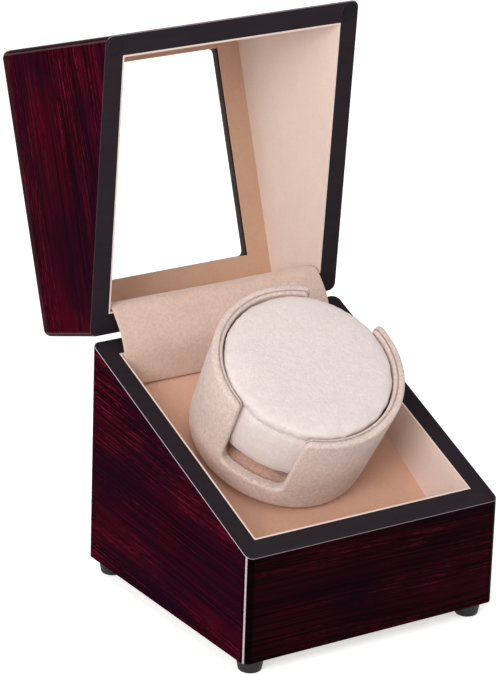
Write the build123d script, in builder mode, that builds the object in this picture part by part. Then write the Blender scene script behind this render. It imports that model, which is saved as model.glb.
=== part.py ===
from build123d import *
from math import acos, atan2, cos, pi, radians, sin, tan
import os

os.makedirs("parts", exist_ok=True)

# A lidded watch winder for one watch, with its lid open. Millimetres, +Z up, front towards -Y.
# The frame's origin is on the floor, below the middle of the open winder's outline.

# Outline of the closed box, without its feet
case_width = 130.0
case_depth = 129.0
closed_height = 145.0
back_rim_height = 101.5
front_rim_height = 48.5
corner_radius = 3.5
lid_edge_radius = 3.0
rim_round = 0.5

# Boards and linings
wall = 9.0
base_thickness = 6.0
lid_top_thickness = 6.0
deck_thickness = 5.0
lining = 0.8

# Lid window
window_side_margin = 21.0
window_back_margin = 20.0
window_front_margin = 12.8
window_corner = 2.5
window_edge_round = 0.8
glass_thickness = 2.0
glass_overlap = 2.8
glass_clearance = 0.15

# Hinges: the pins lie behind the back rim, halfway up the gap between the rims
rim_gap = 0.3
open_angle = 108.6
hinge_back = 1.3
hinge_spread = 70.0
hinge_length = 20.0
pin_radius = 0.8
pin_clearance = 0.05
knuckle_radius = 1.8
knuckle_gap = 0.2
knuckle_relief = 0.3
leaf_thickness = 0.7
leaf_depth = 7.2
mortise_clearance = 0.1
leaf_screw_spread = 12.0
leaf_screw_inset = 4.2
leaf_screw_radius = 0.7
leaf_screw_length = 5.5

# Bumpers let into the front corners of the lid's rim
bumper_radius = 4.0
bumper_inset = 5.1
bumper_depth = 1.6
bumper_proud = 0.15
bumper_clearance = 0.05

# Cloth strip that covers the hinge gap
flap_side_gap = 1.2
flap_thickness = 1.0
flap_stand_off = 1.2
flap_knee = 2.0
flap_crest = 2.3
flap_crest_back = -0.4
flap_lid_length = 20.0
flap_knee_bend = 15.0
flap_crest_bend = 4.5
flap_corner = 6.0
cloth_gap = 0.4

# Feet
foot_height = 7.0
foot_top_radius = 6.3
foot_bottom_radius = 5.0
foot_edge = 1.2
foot_inset = 8.2

# Sloping deck, and the spindle through it
deck_angle = 29.5
deck_height = 59.6
spindle_y = 15.6
spindle_radius = 3.0
running_clearance = 0.05
bush_wall = 1.6
bush_flange = 1.4
bush_flange_height = 0.5
lining_hole_gap = 0.4

# Cup: heights are above its foot, along the spindle
cup_gap = 1.2
cup_foot_radius = 39.8
cup_foot_round = 4.0
cup_low_radius = 40.9
cup_low_height = 9.0
cup_mouth_radius = 43.2
cup_mouth_height = 50.5
mouth_tilt = 6.4
mouth_bore_radius = 38.3
cushion_seat_height = 15.8
cushion_seat_radius = 38.0
cup_floor_radius = 36.0
cup_floor_height = 9.4
cup_floor_thickness = 3.5
cup_cavity_radius = 34.0
cup_lip_round = 1.4
cup_inner_lip_round = 1.2
notch_direction = 142.0
notch_floor_height = 12.2
notch_bottom_width = 28.4
notch_top_width = 32.1
notch_floor_round = 3.0
notch_shoulder_round = 3.0
floor_pad_thickness = 0.8
floor_pad_gap = 0.5

# Hub, and the screw that holds the cup on the spindle
hub_radius = 16.0
hub_thickness = 3.0
hub_boss_radius = 6.0
hub_wall_above_spindle = 1.0
hub_screw_radius = 1.25
hub_screw_head = 3.4
hub_screw_head_height = 1.6
hub_screw_grip = 4.5

# Cushion
cushion_gap = 0.25
cushion_lift_off_seat = 0.3
cushion_seam_height = 46.5
cushion_draw_in = 0.15
cushion_waist_height = 31.5
cushion_bottom_round = 4.0
cushion_crown = 4.5

# Gear train: spindle gear, two-step idler, motor pinion
gear_module = 0.8
spindle_teeth = 40
idler_wheel_teeth = 36
pinion_teeth = 12
pressure_angle = 20.0
backlash = 0.2
wheel_addendum = 0.75
wheel_dedendum = 1.25
pinion_addendum = 0.95
pinion_dedendum = 1.05
flank_points = 4
high_gear_thickness = 4.0
low_gear_thickness = 3.0
layer_gap = 0.8

# Gearbox below the deck
gearbox_plate = 2.0
gearbox_wall = 1.6
gearbox_side_gap = 1.4
gearbox_corner = 3.0
gearbox_boss = 3.2
gearbox_boss_inset = 2.5
gearbox_screw_radius = 1.25
gearbox_screw_head = 2.4
gearbox_screw_head_height = 1.5
gearbox_screw_grip = 4.0
spindle_hole_gap = 0.5
journal_radius = 2.0
journal_length = 2.2
journal_end_gap = 0.2
idler_pin_radius = 1.0

# Motor
motor_radius = 9.0
motor_length = 20.0
motor_nose_radius = 3.0
motor_nose_gap = 0.2
motor_shaft_radius = 1.0
motor_shaft_depth = 15.0
motor_cap_radius = 8.4
motor_cap_thickness = 2.5
terminal_width = 2.4
terminal_thickness = 0.5
terminal_length = 3.5
terminal_offset = 5.5
motor_screw_offset = 6.8
motor_screw_radius = 0.9
motor_screw_head = 1.6
motor_screw_head_height = 0.6
motor_screw_grip = 3.0

# Control plate, mode knob and power inlet on the back
controls_x = -27.0
controls_height = 34.0
plate_width = 46.0
plate_height = 24.0
plate_thickness = 2.0
plate_proud = 1.0
plate_corner = 3.0
plate_clearance = 0.15
plate_ledge = 4.0
plate_screw_inset = 2.2
plate_screw_radius = 0.9
plate_screw_length = 6.5
knob_offset = -11.0
knob_radius = 6.5
knob_height = 8.0
knob_gap = 0.4
knob_edge = 0.8
knob_stem_radius = 3.0
knob_stem_depth = 4.0
knob_flutes = 16
knob_flute_radius = 0.7
pointer_width = 1.0
pointer_depth = 0.5
control_depth = 12.0
switch_width = 13.0
inlet_offset = 10.0
inlet_width = 10.0
inlet_snout_radius = 4.2
inlet_bore = 2.95
inlet_bore_depth = 11.0
inlet_pin_radius = 1.0
inlet_pin_recess = 5.0
board_width = 38.0
board_height = 18.0
board_thickness = 1.6
chip_width = 8.0
chip_height = 6.0
chip_thickness = 1.4
screw_slack = 0.05

# Halves and inner faces of the box
half_width = case_width / 2
half_depth = case_depth / 2
inner_x = half_width - wall
inner_y = half_depth - wall
lined_x = inner_x - lining
lined_y = inner_y - lining
lid_inner_height = closed_height - lid_top_thickness

# The rim, the hinge axis and how far back the open lid reaches
rim_slope = atan2(back_rim_height - front_rim_height, case_depth)
lid_turn = radians(open_angle)
hinge_y = half_depth + hinge_back * cos(rim_slope) - rim_gap / 2 * sin(rim_slope)
hinge_z = back_rim_height + hinge_back * sin(rim_slope) + rim_gap / 2 * cos(rim_slope)
edge_y = hinge_y + half_depth - lid_edge_radius
edge_z = closed_height - lid_edge_radius - hinge_z
lid_reach = hinge_y - edge_y * cos(lid_turn) + edge_z * sin(lid_turn) + lid_edge_radius
case_y = (half_depth - lid_reach) / 2

case_plane = Plane((0, case_y, foot_height))
rim_plane = Plane(
    origin=(0, case_y + half_depth, foot_height + back_rim_height),
    x_dir=(1, 0, 0),
    z_dir=(0, -sin(rim_slope), cos(rim_slope)),
)
hinge_plane = Plane(
    origin=rim_plane.from_local_coords((0, hinge_back, rim_gap / 2)),
    x_dir=rim_plane.x_dir,
    z_dir=rim_plane.z_dir,
)
hinge_side = Plane(origin=hinge_plane.origin, x_dir=hinge_plane.y_dir, z_dir=(1, 0, 0))
hinge_spot = Location(hinge_plane.origin)
lid_pose = hinge_spot * Location((0, 0, 0), (-open_angle, 0, 0)) * hinge_spot.inverse()


def opened(plane):
    """A plane of the closed lid, where the open lid has it."""
    return Plane(lid_pose * plane.location)


# The deck, the spindle's axis and the cup's foot
deck_turn = radians(deck_angle)
deck_plane = Plane(
    origin=(0, case_y + spindle_y, foot_height + deck_height),
    x_dir=(1, 0, 0),
    z_dir=(0, -sin(deck_turn), cos(deck_turn)),
)
cup_plane = deck_plane.offset(cup_gap)


def upright(plane):
    """The plane through a plane's origin that holds its x and its normal, for turned profiles."""
    return Plane(origin=plane.origin, x_dir=plane.x_dir, z_dir=-plane.y_dir)


def rim_z(y, gap=0.0):
    """Height of the case's rim above the underside, y from the middle, or of the lid's."""
    return back_rim_height - (half_depth - y) * tan(rim_slope) + gap / cos(rim_slope)


def deck_z(y, depth=0.0):
    """Height above the underside of the surface that lies depth below the deck's face."""
    return deck_height + (y - spindle_y) * tan(deck_turn) - depth / cos(deck_turn)


def wall_plan(side):
    """Plan of one wall, mitred at its corners, in the active sketch."""
    RectangleRounded(case_width, case_depth, corner_radius)
    Rectangle(2 * inner_x, 2 * inner_y, mode=Mode.SUBTRACT)
    out_x, out_y = half_width + wall, half_depth + wall
    in_x, in_y = half_width - 2 * wall, half_depth - 2 * wall
    corners = {
        "left": ((-out_x, -out_y), (-in_x, -in_y), (-in_x, in_y), (-out_x, out_y)),
        "right": ((out_x, -out_y), (out_x, out_y), (in_x, in_y), (in_x, -in_y)),
        "front": ((-out_x, -out_y), (out_x, -out_y), (in_x, -in_y), (-in_x, -in_y)),
        "back": ((-out_x, out_y), (-in_x, in_y), (in_x, in_y), (out_x, out_y)),
    }
    Polygon(*corners[side], align=None, mode=Mode.INTERSECT)


def outer_rim_edges(part, base, rim):
    """The edges of a wall that lie on its rim and on the outside of the box."""
    chosen = []
    for edge in part.edges():
        on_rim = all(abs(rim.to_local_coords(edge @ end).Z) < 0.01 for end in (0, 1))
        middle = base.to_local_coords(edge @ 0.5)
        near_x = abs(middle.X) > half_width - corner_radius
        near_y = abs(middle.Y) > half_depth - corner_radius
        if on_rim and (near_x or near_y):
            chosen.append(edge)
    return chosen


def side_board(front, back, low, high):
    """A board's outline seen from the side, between two heights that follow y."""
    Polygon(
        (front, low(front)),
        (back, low(back)),
        (back, high(back)),
        (front, high(front)),
        align=None,
    )


def side_view(x=0.0):
    """The plane that looks along X: y from the case's middle, height above its underside."""
    return Plane(origin=(x, case_y, foot_height), x_dir=(0, 1, 0), z_dir=(1, 0, 0))


def flush_screws(plane, spots, radius, length, depth, slack=0.0, mode=Mode.ADD):
    """Countersunk screws, or their holes, driven down from a plane."""
    with BuildSketch(plane) as head:
        with Locations(*spots):
            Circle(radius + depth + slack)
    extrude(head.sketch, amount=-depth, taper=45, mode=mode)
    with BuildSketch(plane) as shank:
        with Locations(*spots):
            Circle(radius + slack)
    extrude(shank.sketch, amount=-length - slack, mode=mode)


def column(plane, spots, radius, low, high, mode=Mode.ADD):
    """Round columns or holes between two heights over a plane."""
    with BuildSketch(plane.offset(low)) as section:
        with Locations(*spots):
            Circle(radius)
    extrude(section.sketch, amount=high - low, mode=mode)


def involute_gear(teeth, addendum, dedendum, first_tooth):
    """Outline of a spur gear in the active sketch, its first tooth turned from +X."""
    pitch = teeth * gear_module / 2
    base = pitch * cos(radians(pressure_angle))
    root = pitch - dedendum * gear_module
    tip = pitch + addendum * gear_module
    start = max(base, root)
    half_tooth = pi / (2 * teeth) - backlash / (2 * pitch)
    rolled = tan(radians(pressure_angle)) - radians(pressure_angle)
    flank = []
    for step in range(flank_points):
        radius = start + (tip - start) * step / (flank_points - 1)
        angle = acos(min(1.0, base / radius))
        flank.append((radius, half_tooth + rolled - tan(angle) + angle))
    if root < base:
        flank.insert(0, (root, flank[0][1]))
    points = []
    for tooth in range(teeth):
        middle = radians(first_tooth) + 2 * pi * tooth / teeth
        points += [(r * cos(middle - a), r * sin(middle - a)) for r, a in flank]
        points += [(r * cos(middle + a), r * sin(middle + a)) for r, a in reversed(flank)]
    Polygon(*points, align=None)


# Hinge spots: leaves and their screws, seen along the hinge
hinge_middles = (-hinge_spread / 2, hinge_spread / 2)
knuckle_length = (hinge_length - 2 * knuckle_gap) / 3
leaf_start = -(hinge_back + leaf_depth)
leaf_end = -(knuckle_radius + knuckle_relief)
leaf_screws = [
    (middle + side * leaf_screw_spread / 2, -(hinge_back + leaf_screw_inset))
    for middle in hinge_middles
    for side in (-1, 1)
]


def hinge_relief(plane_of, lift):
    """Cut the leaf's mortise and room for the knuckles out of a back wall."""
    length = hinge_length + 2 * mortise_clearance
    for middle in hinge_middles:
        start = plane_of(hinge_side.offset(middle - length / 2))
        with BuildSketch(start) as relief:
            Circle(knuckle_radius + knuckle_relief)
            with Locations((leaf_start - mortise_clearance, 0)):
                Rectangle(
                    leaf_depth + hinge_back + mortise_clearance,
                    rim_gap / 2 + leaf_thickness,
                    align=(Align.MIN, Align.MIN if lift > 0 else Align.MAX),
                )
        extrude(relief.sketch, amount=length, mode=Mode.SUBTRACT)


def hinge_leaf(plane_of, lift, knuckles):
    """Two leaves with their knuckles, screw holes and bores."""
    low = rim_gap / 2 if lift > 0 else -rim_gap / 2 - leaf_thickness
    for middle in hinge_middles:
        first = middle - hinge_length / 2
        with BuildSketch(plane_of(hinge_side.offset(first))) as leaf:
            with Locations((leaf_start, low)):
                Rectangle(leaf_end - leaf_start, leaf_thickness, align=(Align.MIN, Align.MIN))
        extrude(leaf.sketch, amount=hinge_length)
        for place in knuckles:
            start = first + place * (knuckle_length + knuckle_gap)
            with BuildSketch(plane_of(hinge_side.offset(start))) as knuckle:
                Circle(knuckle_radius)
                with Locations((leaf_end, low)):
                    Rectangle(-leaf_end, leaf_thickness, align=(Align.MIN, Align.MIN))
                Circle(pin_radius + pin_clearance, mode=Mode.SUBTRACT)
            extrude(knuckle.sketch, amount=knuckle_length)
    screw_plane = plane_of(screw_face(lift))
    flush_screws(
        screw_plane,
        leaf_screw_spots(lift),
        leaf_screw_radius,
        leaf_thickness,
        leaf_thickness,
        screw_slack,
        Mode.SUBTRACT,
    )


def screw_face(lift):
    """The leaf face that the screw heads are flush with, facing out of the wood."""
    if lift > 0:
        return Plane(
            origin=hinge_plane.from_local_coords((0, 0, rim_gap / 2)),
            x_dir=hinge_plane.x_dir,
            z_dir=-hinge_plane.z_dir,
        )
    return hinge_plane.offset(-rim_gap / 2)


def leaf_screw_spots(lift):
    """Screw places on that face, whose y runs the other way on the lid."""
    return [(x, -y if lift > 0 else y) for x, y in leaf_screws]


def as_is(plane):
    """The case's planes stay where they are."""
    return plane


# Gear centres and the depths of the gearbox's layers below the deck's face
idler_x = (spindle_teeth + pinion_teeth) * gear_module / 2
motor_x = idler_x + (idler_wheel_teeth + pinion_teeth) * gear_module / 2
half_pinion_pitch = 180.0 / pinion_teeth
under_deck = lining + deck_thickness
under_plate = under_deck + gearbox_plate
high_top = under_plate + layer_gap
high_bottom = high_top + high_gear_thickness
low_top = high_bottom + layer_gap
low_bottom = low_top + low_gear_thickness
floor_top = low_bottom + layer_gap
floor_bottom = floor_top + gearbox_plate
spindle_gear_tip = (spindle_teeth / 2 + wheel_addendum) * gear_module
pinion_tip = (pinion_teeth / 2 + pinion_addendum) * gear_module
gearbox_left = -(spindle_gear_tip + gearbox_side_gap)
gearbox_right = motor_x + pinion_tip + gearbox_side_gap
gearbox_half = spindle_gear_tip + gearbox_side_gap
gearbox_middle = (gearbox_left + gearbox_right) / 2
gearbox_length = gearbox_right - gearbox_left
gearbox_screw_spots = [
    (x, y)
    for x in (gearbox_left + gearbox_boss_inset, gearbox_right - gearbox_boss_inset)
    for y in (-gearbox_half + gearbox_boss_inset, gearbox_half - gearbox_boss_inset)
]
gearbox_screw_end = under_deck - gearbox_screw_grip
motor_screw_spots = [(motor_x, -motor_screw_offset), (motor_x, motor_screw_offset)]
bush_radius = spindle_radius + running_clearance + bush_wall
flange_radius = bush_radius + bush_flange
cavity_height = cup_floor_height - cup_floor_thickness
spindle_top = cavity_height - hub_wall_above_spindle
screw_seat = cup_floor_height - hub_screw_head_height


def below_deck(depth):
    """The deck's plane, moved down along the spindle."""
    return deck_plane.offset(-depth)


# Wooden walls of the case
with BuildPart() as case_left_panel:
    with BuildSketch(case_plane):
        wall_plan("left")
    extrude(amount=closed_height)
    split(bisect_by=rim_plane, keep=Keep.BOTTOM)
    fillet(outer_rim_edges(case_left_panel.part, case_plane, rim_plane), rim_round)
case_left_panel.part.label = "case_left_panel"
export_step(case_left_panel.part, "parts/case_left_panel.step")

with BuildPart() as case_right_panel:
    with BuildSketch(case_plane):
        wall_plan("right")
    extrude(amount=closed_height)
    split(bisect_by=rim_plane, keep=Keep.BOTTOM)
    fillet(outer_rim_edges(case_right_panel.part, case_plane, rim_plane), rim_round)
case_right_panel.part.label = "case_right_panel"
export_step(case_right_panel.part, "parts/case_right_panel.step")

with BuildPart() as case_front_panel:
    with BuildSketch(case_plane):
        wall_plan("front")
    extrude(amount=closed_height)
    split(bisect_by=rim_plane, keep=Keep.BOTTOM)
    fillet(outer_rim_edges(case_front_panel.part, case_plane, rim_plane), rim_round)
case_front_panel.part.label = "case_front_panel"
export_step(case_front_panel.part, "parts/case_front_panel.step")

# Places of the controls on the back wall, seen from behind
controls_plane = Plane(
    origin=(controls_x, case_y + half_depth, foot_height + controls_height),
    x_dir=(-1, 0, 0),
    z_dir=(0, 1, 0),
)
plate_back = plate_proud - plate_thickness
plate_screw_spots = [
    (-plate_width / 2 + plate_screw_inset, 0),
    (plate_width / 2 - plate_screw_inset, 0),
]
plate_screw_depth = plate_thickness / 2

with BuildPart() as case_back_panel:
    with BuildSketch(case_plane):
        wall_plan("back")
    extrude(amount=closed_height)
    split(bisect_by=rim_plane, keep=Keep.BOTTOM)
    fillet(outer_rim_edges(case_back_panel.part, case_plane, rim_plane), rim_round)
    hinge_relief(as_is, -1)
    flush_screws(
        screw_face(-1),
        leaf_screw_spots(-1),
        leaf_screw_radius,
        leaf_screw_length,
        leaf_thickness,
        screw_slack,
        Mode.SUBTRACT,
    )
    with BuildSketch(controls_plane):
        RectangleRounded(
            plate_width + 2 * plate_clearance, plate_height + 2 * plate_clearance, plate_corner
        )
    extrude(amount=plate_back, mode=Mode.SUBTRACT)
    with BuildSketch(controls_plane):
        Rectangle(plate_width - 2 * plate_ledge, plate_height - 2 * plate_ledge)
    extrude(amount=-wall, mode=Mode.SUBTRACT)
    column(
        controls_plane,
        plate_screw_spots,
        plate_screw_radius + screw_slack,
        plate_proud - plate_screw_length - screw_slack,
        0,
        Mode.SUBTRACT,
    )
case_back_panel.part.label = "case_back_panel"
export_step(case_back_panel.part, "parts/case_back_panel.step")

with BuildPart() as case_base:
    with BuildSketch(case_plane):
        Rectangle(2 * inner_x, 2 * inner_y)
    extrude(amount=base_thickness)
case_base.part.label = "case_base"
export_step(case_base.part, "parts/case_base.step")

# Sloping deck and the linings of the case
with BuildPart() as deck_board:
    with BuildSketch(side_view()):
        side_board(
            -inner_y,
            inner_y,
            lambda y: deck_z(y, under_deck),
            lambda y: deck_z(y, lining),
        )
    extrude(amount=inner_x, both=True)
    column(deck_plane, [(0, 0)], bush_radius, -under_deck, 0, Mode.SUBTRACT)
    column(
        deck_plane,
        gearbox_screw_spots,
        gearbox_screw_radius + screw_slack,
        -under_deck,
        -gearbox_screw_end + screw_slack,
        Mode.SUBTRACT,
    )
deck_board.part.label = "deck_board"
export_step(deck_board.part, "parts/deck_board.step")

with BuildPart() as deck_lining:
    with BuildSketch(side_view()):
        side_board(-lined_y, lined_y, lambda y: deck_z(y, lining), deck_z)
    extrude(amount=lined_x, both=True)
    column(deck_plane, [(0, 0)], flange_radius + lining_hole_gap, -lining, 0, Mode.SUBTRACT)
deck_lining.part.label = "deck_lining"
export_step(deck_lining.part, "parts/deck_lining.step")

with BuildPart() as case_lining_left:
    with BuildSketch(side_view(-inner_x)):
        side_board(-inner_y, inner_y, lambda y: deck_z(y, lining), rim_z)
    extrude(amount=lining)
case_lining_left.part.label = "case_lining_left"
export_step(case_lining_left.part, "parts/case_lining_left.step")

with BuildPart() as case_lining_right:
    with BuildSketch(side_view(inner_x)):
        side_board(-inner_y, inner_y, lambda y: deck_z(y, lining), rim_z)
    extrude(amount=-lining)
case_lining_right.part.label = "case_lining_right"
export_step(case_lining_right.part, "parts/case_lining_right.step")

with BuildPart() as case_lining_front:
    with BuildSketch(side_view()):
        side_board(-inner_y, -lined_y, lambda y: deck_z(y, lining), rim_z)
    extrude(amount=lined_x, both=True)
case_lining_front.part.label = "case_lining_front"
export_step(case_lining_front.part, "parts/case_lining_front.step")

with BuildPart() as case_lining_back:
    with BuildSketch(side_view()):
        side_board(lined_y, inner_y, lambda y: deck_z(y, lining), rim_z)
    extrude(amount=lined_x, both=True)
case_lining_back.part.label = "case_lining_back"
export_step(case_lining_back.part, "parts/case_lining_back.step")

# Four rubber feet, tapered and rounded below
foot_spots = [
    (x * (half_width - foot_inset), y * (half_depth - foot_inset))
    for x in (-1, 1)
    for y in (-1, 1)
]
foot_taper = atan2(foot_top_radius - foot_bottom_radius, foot_height) * 180 / pi
with BuildPart() as feet:
    with BuildSketch(case_plane):
        with Locations(*foot_spots):
            Circle(foot_top_radius)
    extrude(amount=-foot_height, taper=foot_taper)
    fillet(feet.edges().group_by(Axis.Z)[0], foot_edge)
feet.part.label = "feet"
export_step(feet.part, "parts/feet.step")

# Wooden walls and top of the lid
lid_base = opened(case_plane)
lid_rim = opened(rim_plane.offset(rim_gap))
lid_up = Axis(lid_base.origin, lid_base.z_dir)
bumper_run = (bumper_inset - case_depth) / cos(rim_slope)
bumper_spots = [(side * (half_width - bumper_inset), bumper_run) for side in (-1, 1)]


def bumper_recess():
    """Cut the bumpers' seats out of the wall in hand."""
    radius = bumper_radius + bumper_clearance
    column(lid_rim, bumper_spots, radius, 0, bumper_depth - bumper_proud, Mode.SUBTRACT)


with BuildPart() as lid_left_panel:
    with BuildSketch(lid_base):
        wall_plan("left")
    extrude(amount=lid_inner_height)
    split(bisect_by=lid_rim, keep=Keep.TOP)
    fillet(outer_rim_edges(lid_left_panel.part, lid_base, lid_rim), rim_round)
    bumper_recess()
lid_left_panel.part.label = "lid_left_panel"
export_step(lid_left_panel.part, "parts/lid_left_panel.step")

with BuildPart() as lid_right_panel:
    with BuildSketch(lid_base):
        wall_plan("right")
    extrude(amount=lid_inner_height)
    split(bisect_by=lid_rim, keep=Keep.TOP)
    fillet(outer_rim_edges(lid_right_panel.part, lid_base, lid_rim), rim_round)
    bumper_recess()
lid_right_panel.part.label = "lid_right_panel"
export_step(lid_right_panel.part, "parts/lid_right_panel.step")

with BuildPart() as lid_front_panel:
    with BuildSketch(lid_base):
        wall_plan("front")
    extrude(amount=lid_inner_height)
    split(bisect_by=lid_rim, keep=Keep.TOP)
    fillet(outer_rim_edges(lid_front_panel.part, lid_base, lid_rim), rim_round)
    bumper_recess()
lid_front_panel.part.label = "lid_front_panel"
export_step(lid_front_panel.part, "parts/lid_front_panel.step")

with BuildPart() as lid_back_panel:
    with BuildSketch(lid_base):
        wall_plan("back")
    extrude(amount=lid_inner_height)
    split(bisect_by=lid_rim, keep=Keep.TOP)
    fillet(outer_rim_edges(lid_back_panel.part, lid_base, lid_rim), rim_round)
    hinge_relief(opened, 1)
    flush_screws(
        opened(screw_face(1)),
        leaf_screw_spots(1),
        leaf_screw_radius,
        leaf_screw_length,
        leaf_thickness,
        screw_slack,
        Mode.SUBTRACT,
    )
lid_back_panel.part.label = "lid_back_panel"
export_step(lid_back_panel.part, "parts/lid_back_panel.step")

with BuildPart() as lid_bumpers:
    column(lid_rim, bumper_spots, bumper_radius, -bumper_proud, bumper_depth - bumper_proud)
lid_bumpers.part.label = "lid_bumpers"
export_step(lid_bumpers.part, "parts/lid_bumpers.step")

window_width = case_width - 2 * window_side_margin
window_length = case_depth - window_front_margin - window_back_margin
window_y = (window_front_margin - window_back_margin) / 2
glass_width = window_width + 2 * glass_overlap
glass_length = window_length + 2 * glass_overlap
window_plane = opened(Plane((0, case_y + window_y, foot_height + lid_inner_height)))

with BuildPart() as lid_top_frame:
    with BuildSketch(opened(case_plane.offset(lid_inner_height))):
        RectangleRounded(case_width, case_depth, corner_radius)
    extrude(amount=lid_top_thickness)
    fillet(lid_top_frame.faces().sort_by(lid_up)[-1].edges(), lid_edge_radius)
    with BuildSketch(window_plane):
        RectangleRounded(window_width, window_length, window_corner)
    extrude(amount=lid_top_thickness, mode=Mode.SUBTRACT)
    fillet(lid_top_frame.faces().sort_by(lid_up)[-1].inner_wires().edges(), window_edge_round)
    with BuildSketch(window_plane):
        Rectangle(glass_width, glass_length)
    extrude(amount=glass_thickness, mode=Mode.SUBTRACT)
lid_top_frame.part.label = "lid_top_frame"
export_step(lid_top_frame.part, "parts/lid_top_frame.step")

with BuildPart() as window_glass:
    with BuildSketch(window_plane):
        Rectangle(glass_width - 2 * glass_clearance, glass_length - 2 * glass_clearance)
    extrude(amount=glass_thickness)
window_glass.part.label = "window_glass"
export_step(window_glass.part, "parts/window_glass.step")

# Linings of the lid; the one on the top holds the glass in its rebate
with BuildPart() as lid_lining_top:
    with BuildSketch(opened(case_plane.offset(lid_inner_height))):
        Rectangle(2 * inner_x, 2 * inner_y)
        with Locations((0, window_y)):
            Rectangle(window_width, window_length, mode=Mode.SUBTRACT)
    extrude(amount=-lining)
lid_lining_top.part.label = "lid_lining_top"
export_step(lid_lining_top.part, "parts/lid_lining_top.step")


def lid_rim_z(y):
    """Height of the closed lid's rim above the underside."""
    return rim_z(y, rim_gap)


def lid_lined_z(y):
    """Height of the lining on the lid's top, which is level."""
    return lid_inner_height - lining


with BuildPart() as lid_lining_left:
    with BuildSketch(opened(side_view(-inner_x))):
        side_board(-inner_y, inner_y, lid_rim_z, lid_lined_z)
    extrude(amount=lining)
lid_lining_left.part.label = "lid_lining_left"
export_step(lid_lining_left.part, "parts/lid_lining_left.step")

with BuildPart() as lid_lining_right:
    with BuildSketch(opened(side_view(inner_x))):
        side_board(-inner_y, inner_y, lid_rim_z, lid_lined_z)
    extrude(amount=-lining)
lid_lining_right.part.label = "lid_lining_right"
export_step(lid_lining_right.part, "parts/lid_lining_right.step")

with BuildPart() as lid_lining_front:
    with BuildSketch(opened(side_view())):
        side_board(-inner_y, -lined_y, lid_rim_z, lid_lined_z)
    extrude(amount=lined_x, both=True)
lid_lining_front.part.label = "lid_lining_front"
export_step(lid_lining_front.part, "parts/lid_lining_front.step")

with BuildPart() as lid_lining_back:
    with BuildSketch(opened(side_view())):
        side_board(lined_y, inner_y, lid_rim_z, lid_lined_z)
    extrude(amount=lined_x, both=True)
lid_lining_back.part.label = "lid_lining_back"
export_step(lid_lining_back.part, "parts/lid_lining_back.step")

# Two butt hinges
with BuildPart() as case_hinge_leaves:
    hinge_leaf(as_is, -1, (0, 2))
case_hinge_leaves.part.label = "case_hinge_leaves"
export_step(case_hinge_leaves.part, "parts/case_hinge_leaves.step")

with BuildPart() as lid_hinge_leaves:
    hinge_leaf(opened, 1, (1,))
lid_hinge_leaves.part.label = "lid_hinge_leaves"
export_step(lid_hinge_leaves.part, "parts/lid_hinge_leaves.step")

with BuildPart() as hinge_pins:
    for middle in hinge_middles:
        column(hinge_side, [(0, 0)], pin_radius, middle - hinge_length / 2, middle + hinge_length / 2)
hinge_pins.part.label = "hinge_pins"
export_step(hinge_pins.part, "parts/hinge_pins.step")

with BuildPart() as case_hinge_screws:
    flush_screws(
        screw_face(-1), leaf_screw_spots(-1), leaf_screw_radius, leaf_screw_length, leaf_thickness
    )
case_hinge_screws.part.label = "case_hinge_screws"
export_step(case_hinge_screws.part, "parts/case_hinge_screws.step")

with BuildPart() as lid_hinge_screws:
    flush_screws(
        opened(screw_face(1)),
        leaf_screw_spots(1),
        leaf_screw_radius,
        leaf_screw_length,
        leaf_thickness,
    )
lid_hinge_screws.part.label = "lid_hinge_screws"
export_step(lid_hinge_screws.part, "parts/lid_hinge_screws.step")

# Cloth strip: up the case's back lining, over the hinge gap and onto the lid's back lining
lid_corner = opened(side_view()).from_local_coords((lined_y, lid_rim_z(lined_y), 0))
lid_corner = side_view().to_local_coords(lid_corner)
into_lid = Vector(sin(lid_turn), cos(lid_turn))
off_lining = Vector(-cos(lid_turn), sin(lid_turn))
flap_y = lined_y - flap_stand_off
flap_foot = Vector(flap_y, deck_z(flap_y + flap_thickness / 2) + cloth_gap)
flap_bend = Vector(flap_y, rim_z(lined_y) + flap_knee)
flap_top = Vector(lid_corner.X, lid_corner.Y) + into_lid * flap_crest_back + off_lining * flap_crest
flap_rest = off_lining * (cloth_gap + flap_thickness / 2)
flap_end = Vector(lid_corner.X, lid_corner.Y) + into_lid * flap_lid_length + flap_rest
with BuildPart() as hinge_flap:
    with BuildSketch(side_view()):
        with BuildLine():
            FilletPolyline(
                flap_foot,
                flap_bend,
                flap_top,
                flap_end,
                radius=(flap_knee_bend, flap_crest_bend),
            )
        trace(line_width=flap_thickness)
    extrude(amount=lined_x - flap_side_gap, both=True)
    far_face = hinge_flap.faces().sort_by_distance(side_view().from_local_coords(flap_end))[0]
    fillet(far_face.edges().filter_by(Axis.X, reverse=True), flap_corner)
hinge_flap.part.label = "hinge_flap"
export_step(hinge_flap.part, "parts/hinge_flap.step")

# Cup: a turned bowl, its mouth tilted towards one notch, with two notches across it
notch_turn = radians(notch_direction)
notch_way = cup_plane.x_dir * cos(notch_turn) - cup_plane.y_dir * sin(notch_turn)
mouth_turn = radians(mouth_tilt)
mouth_way = cup_plane.z_dir * cos(mouth_turn) + notch_way * sin(mouth_turn)
mouth_plane = Plane(
    origin=cup_plane.offset(cup_mouth_height).origin,
    x_dir=cup_plane.z_dir.cross(notch_way),
    z_dir=mouth_way,
)
notch_plane = Plane(
    origin=cup_plane.origin,
    x_dir=notch_way.cross(cup_plane.z_dir) * -1,
    z_dir=notch_way,
)
cup_side = upright(cup_plane)
cup_axis = Axis(cup_plane.origin, cup_plane.z_dir)
above_mouth = cup_mouth_height + cup_mouth_radius * tan(mouth_turn) + cup_lip_round
cup_flare = (cup_mouth_radius - cup_low_radius) / (cup_mouth_height - cup_low_height)
cup_high_radius = cup_low_radius + cup_flare * (above_mouth - cup_low_height)
notch_flare = (notch_top_width - notch_bottom_width) / (cup_mouth_height - notch_floor_height)
notch_high_width = notch_bottom_width + notch_flare * (above_mouth - notch_floor_height)


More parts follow.
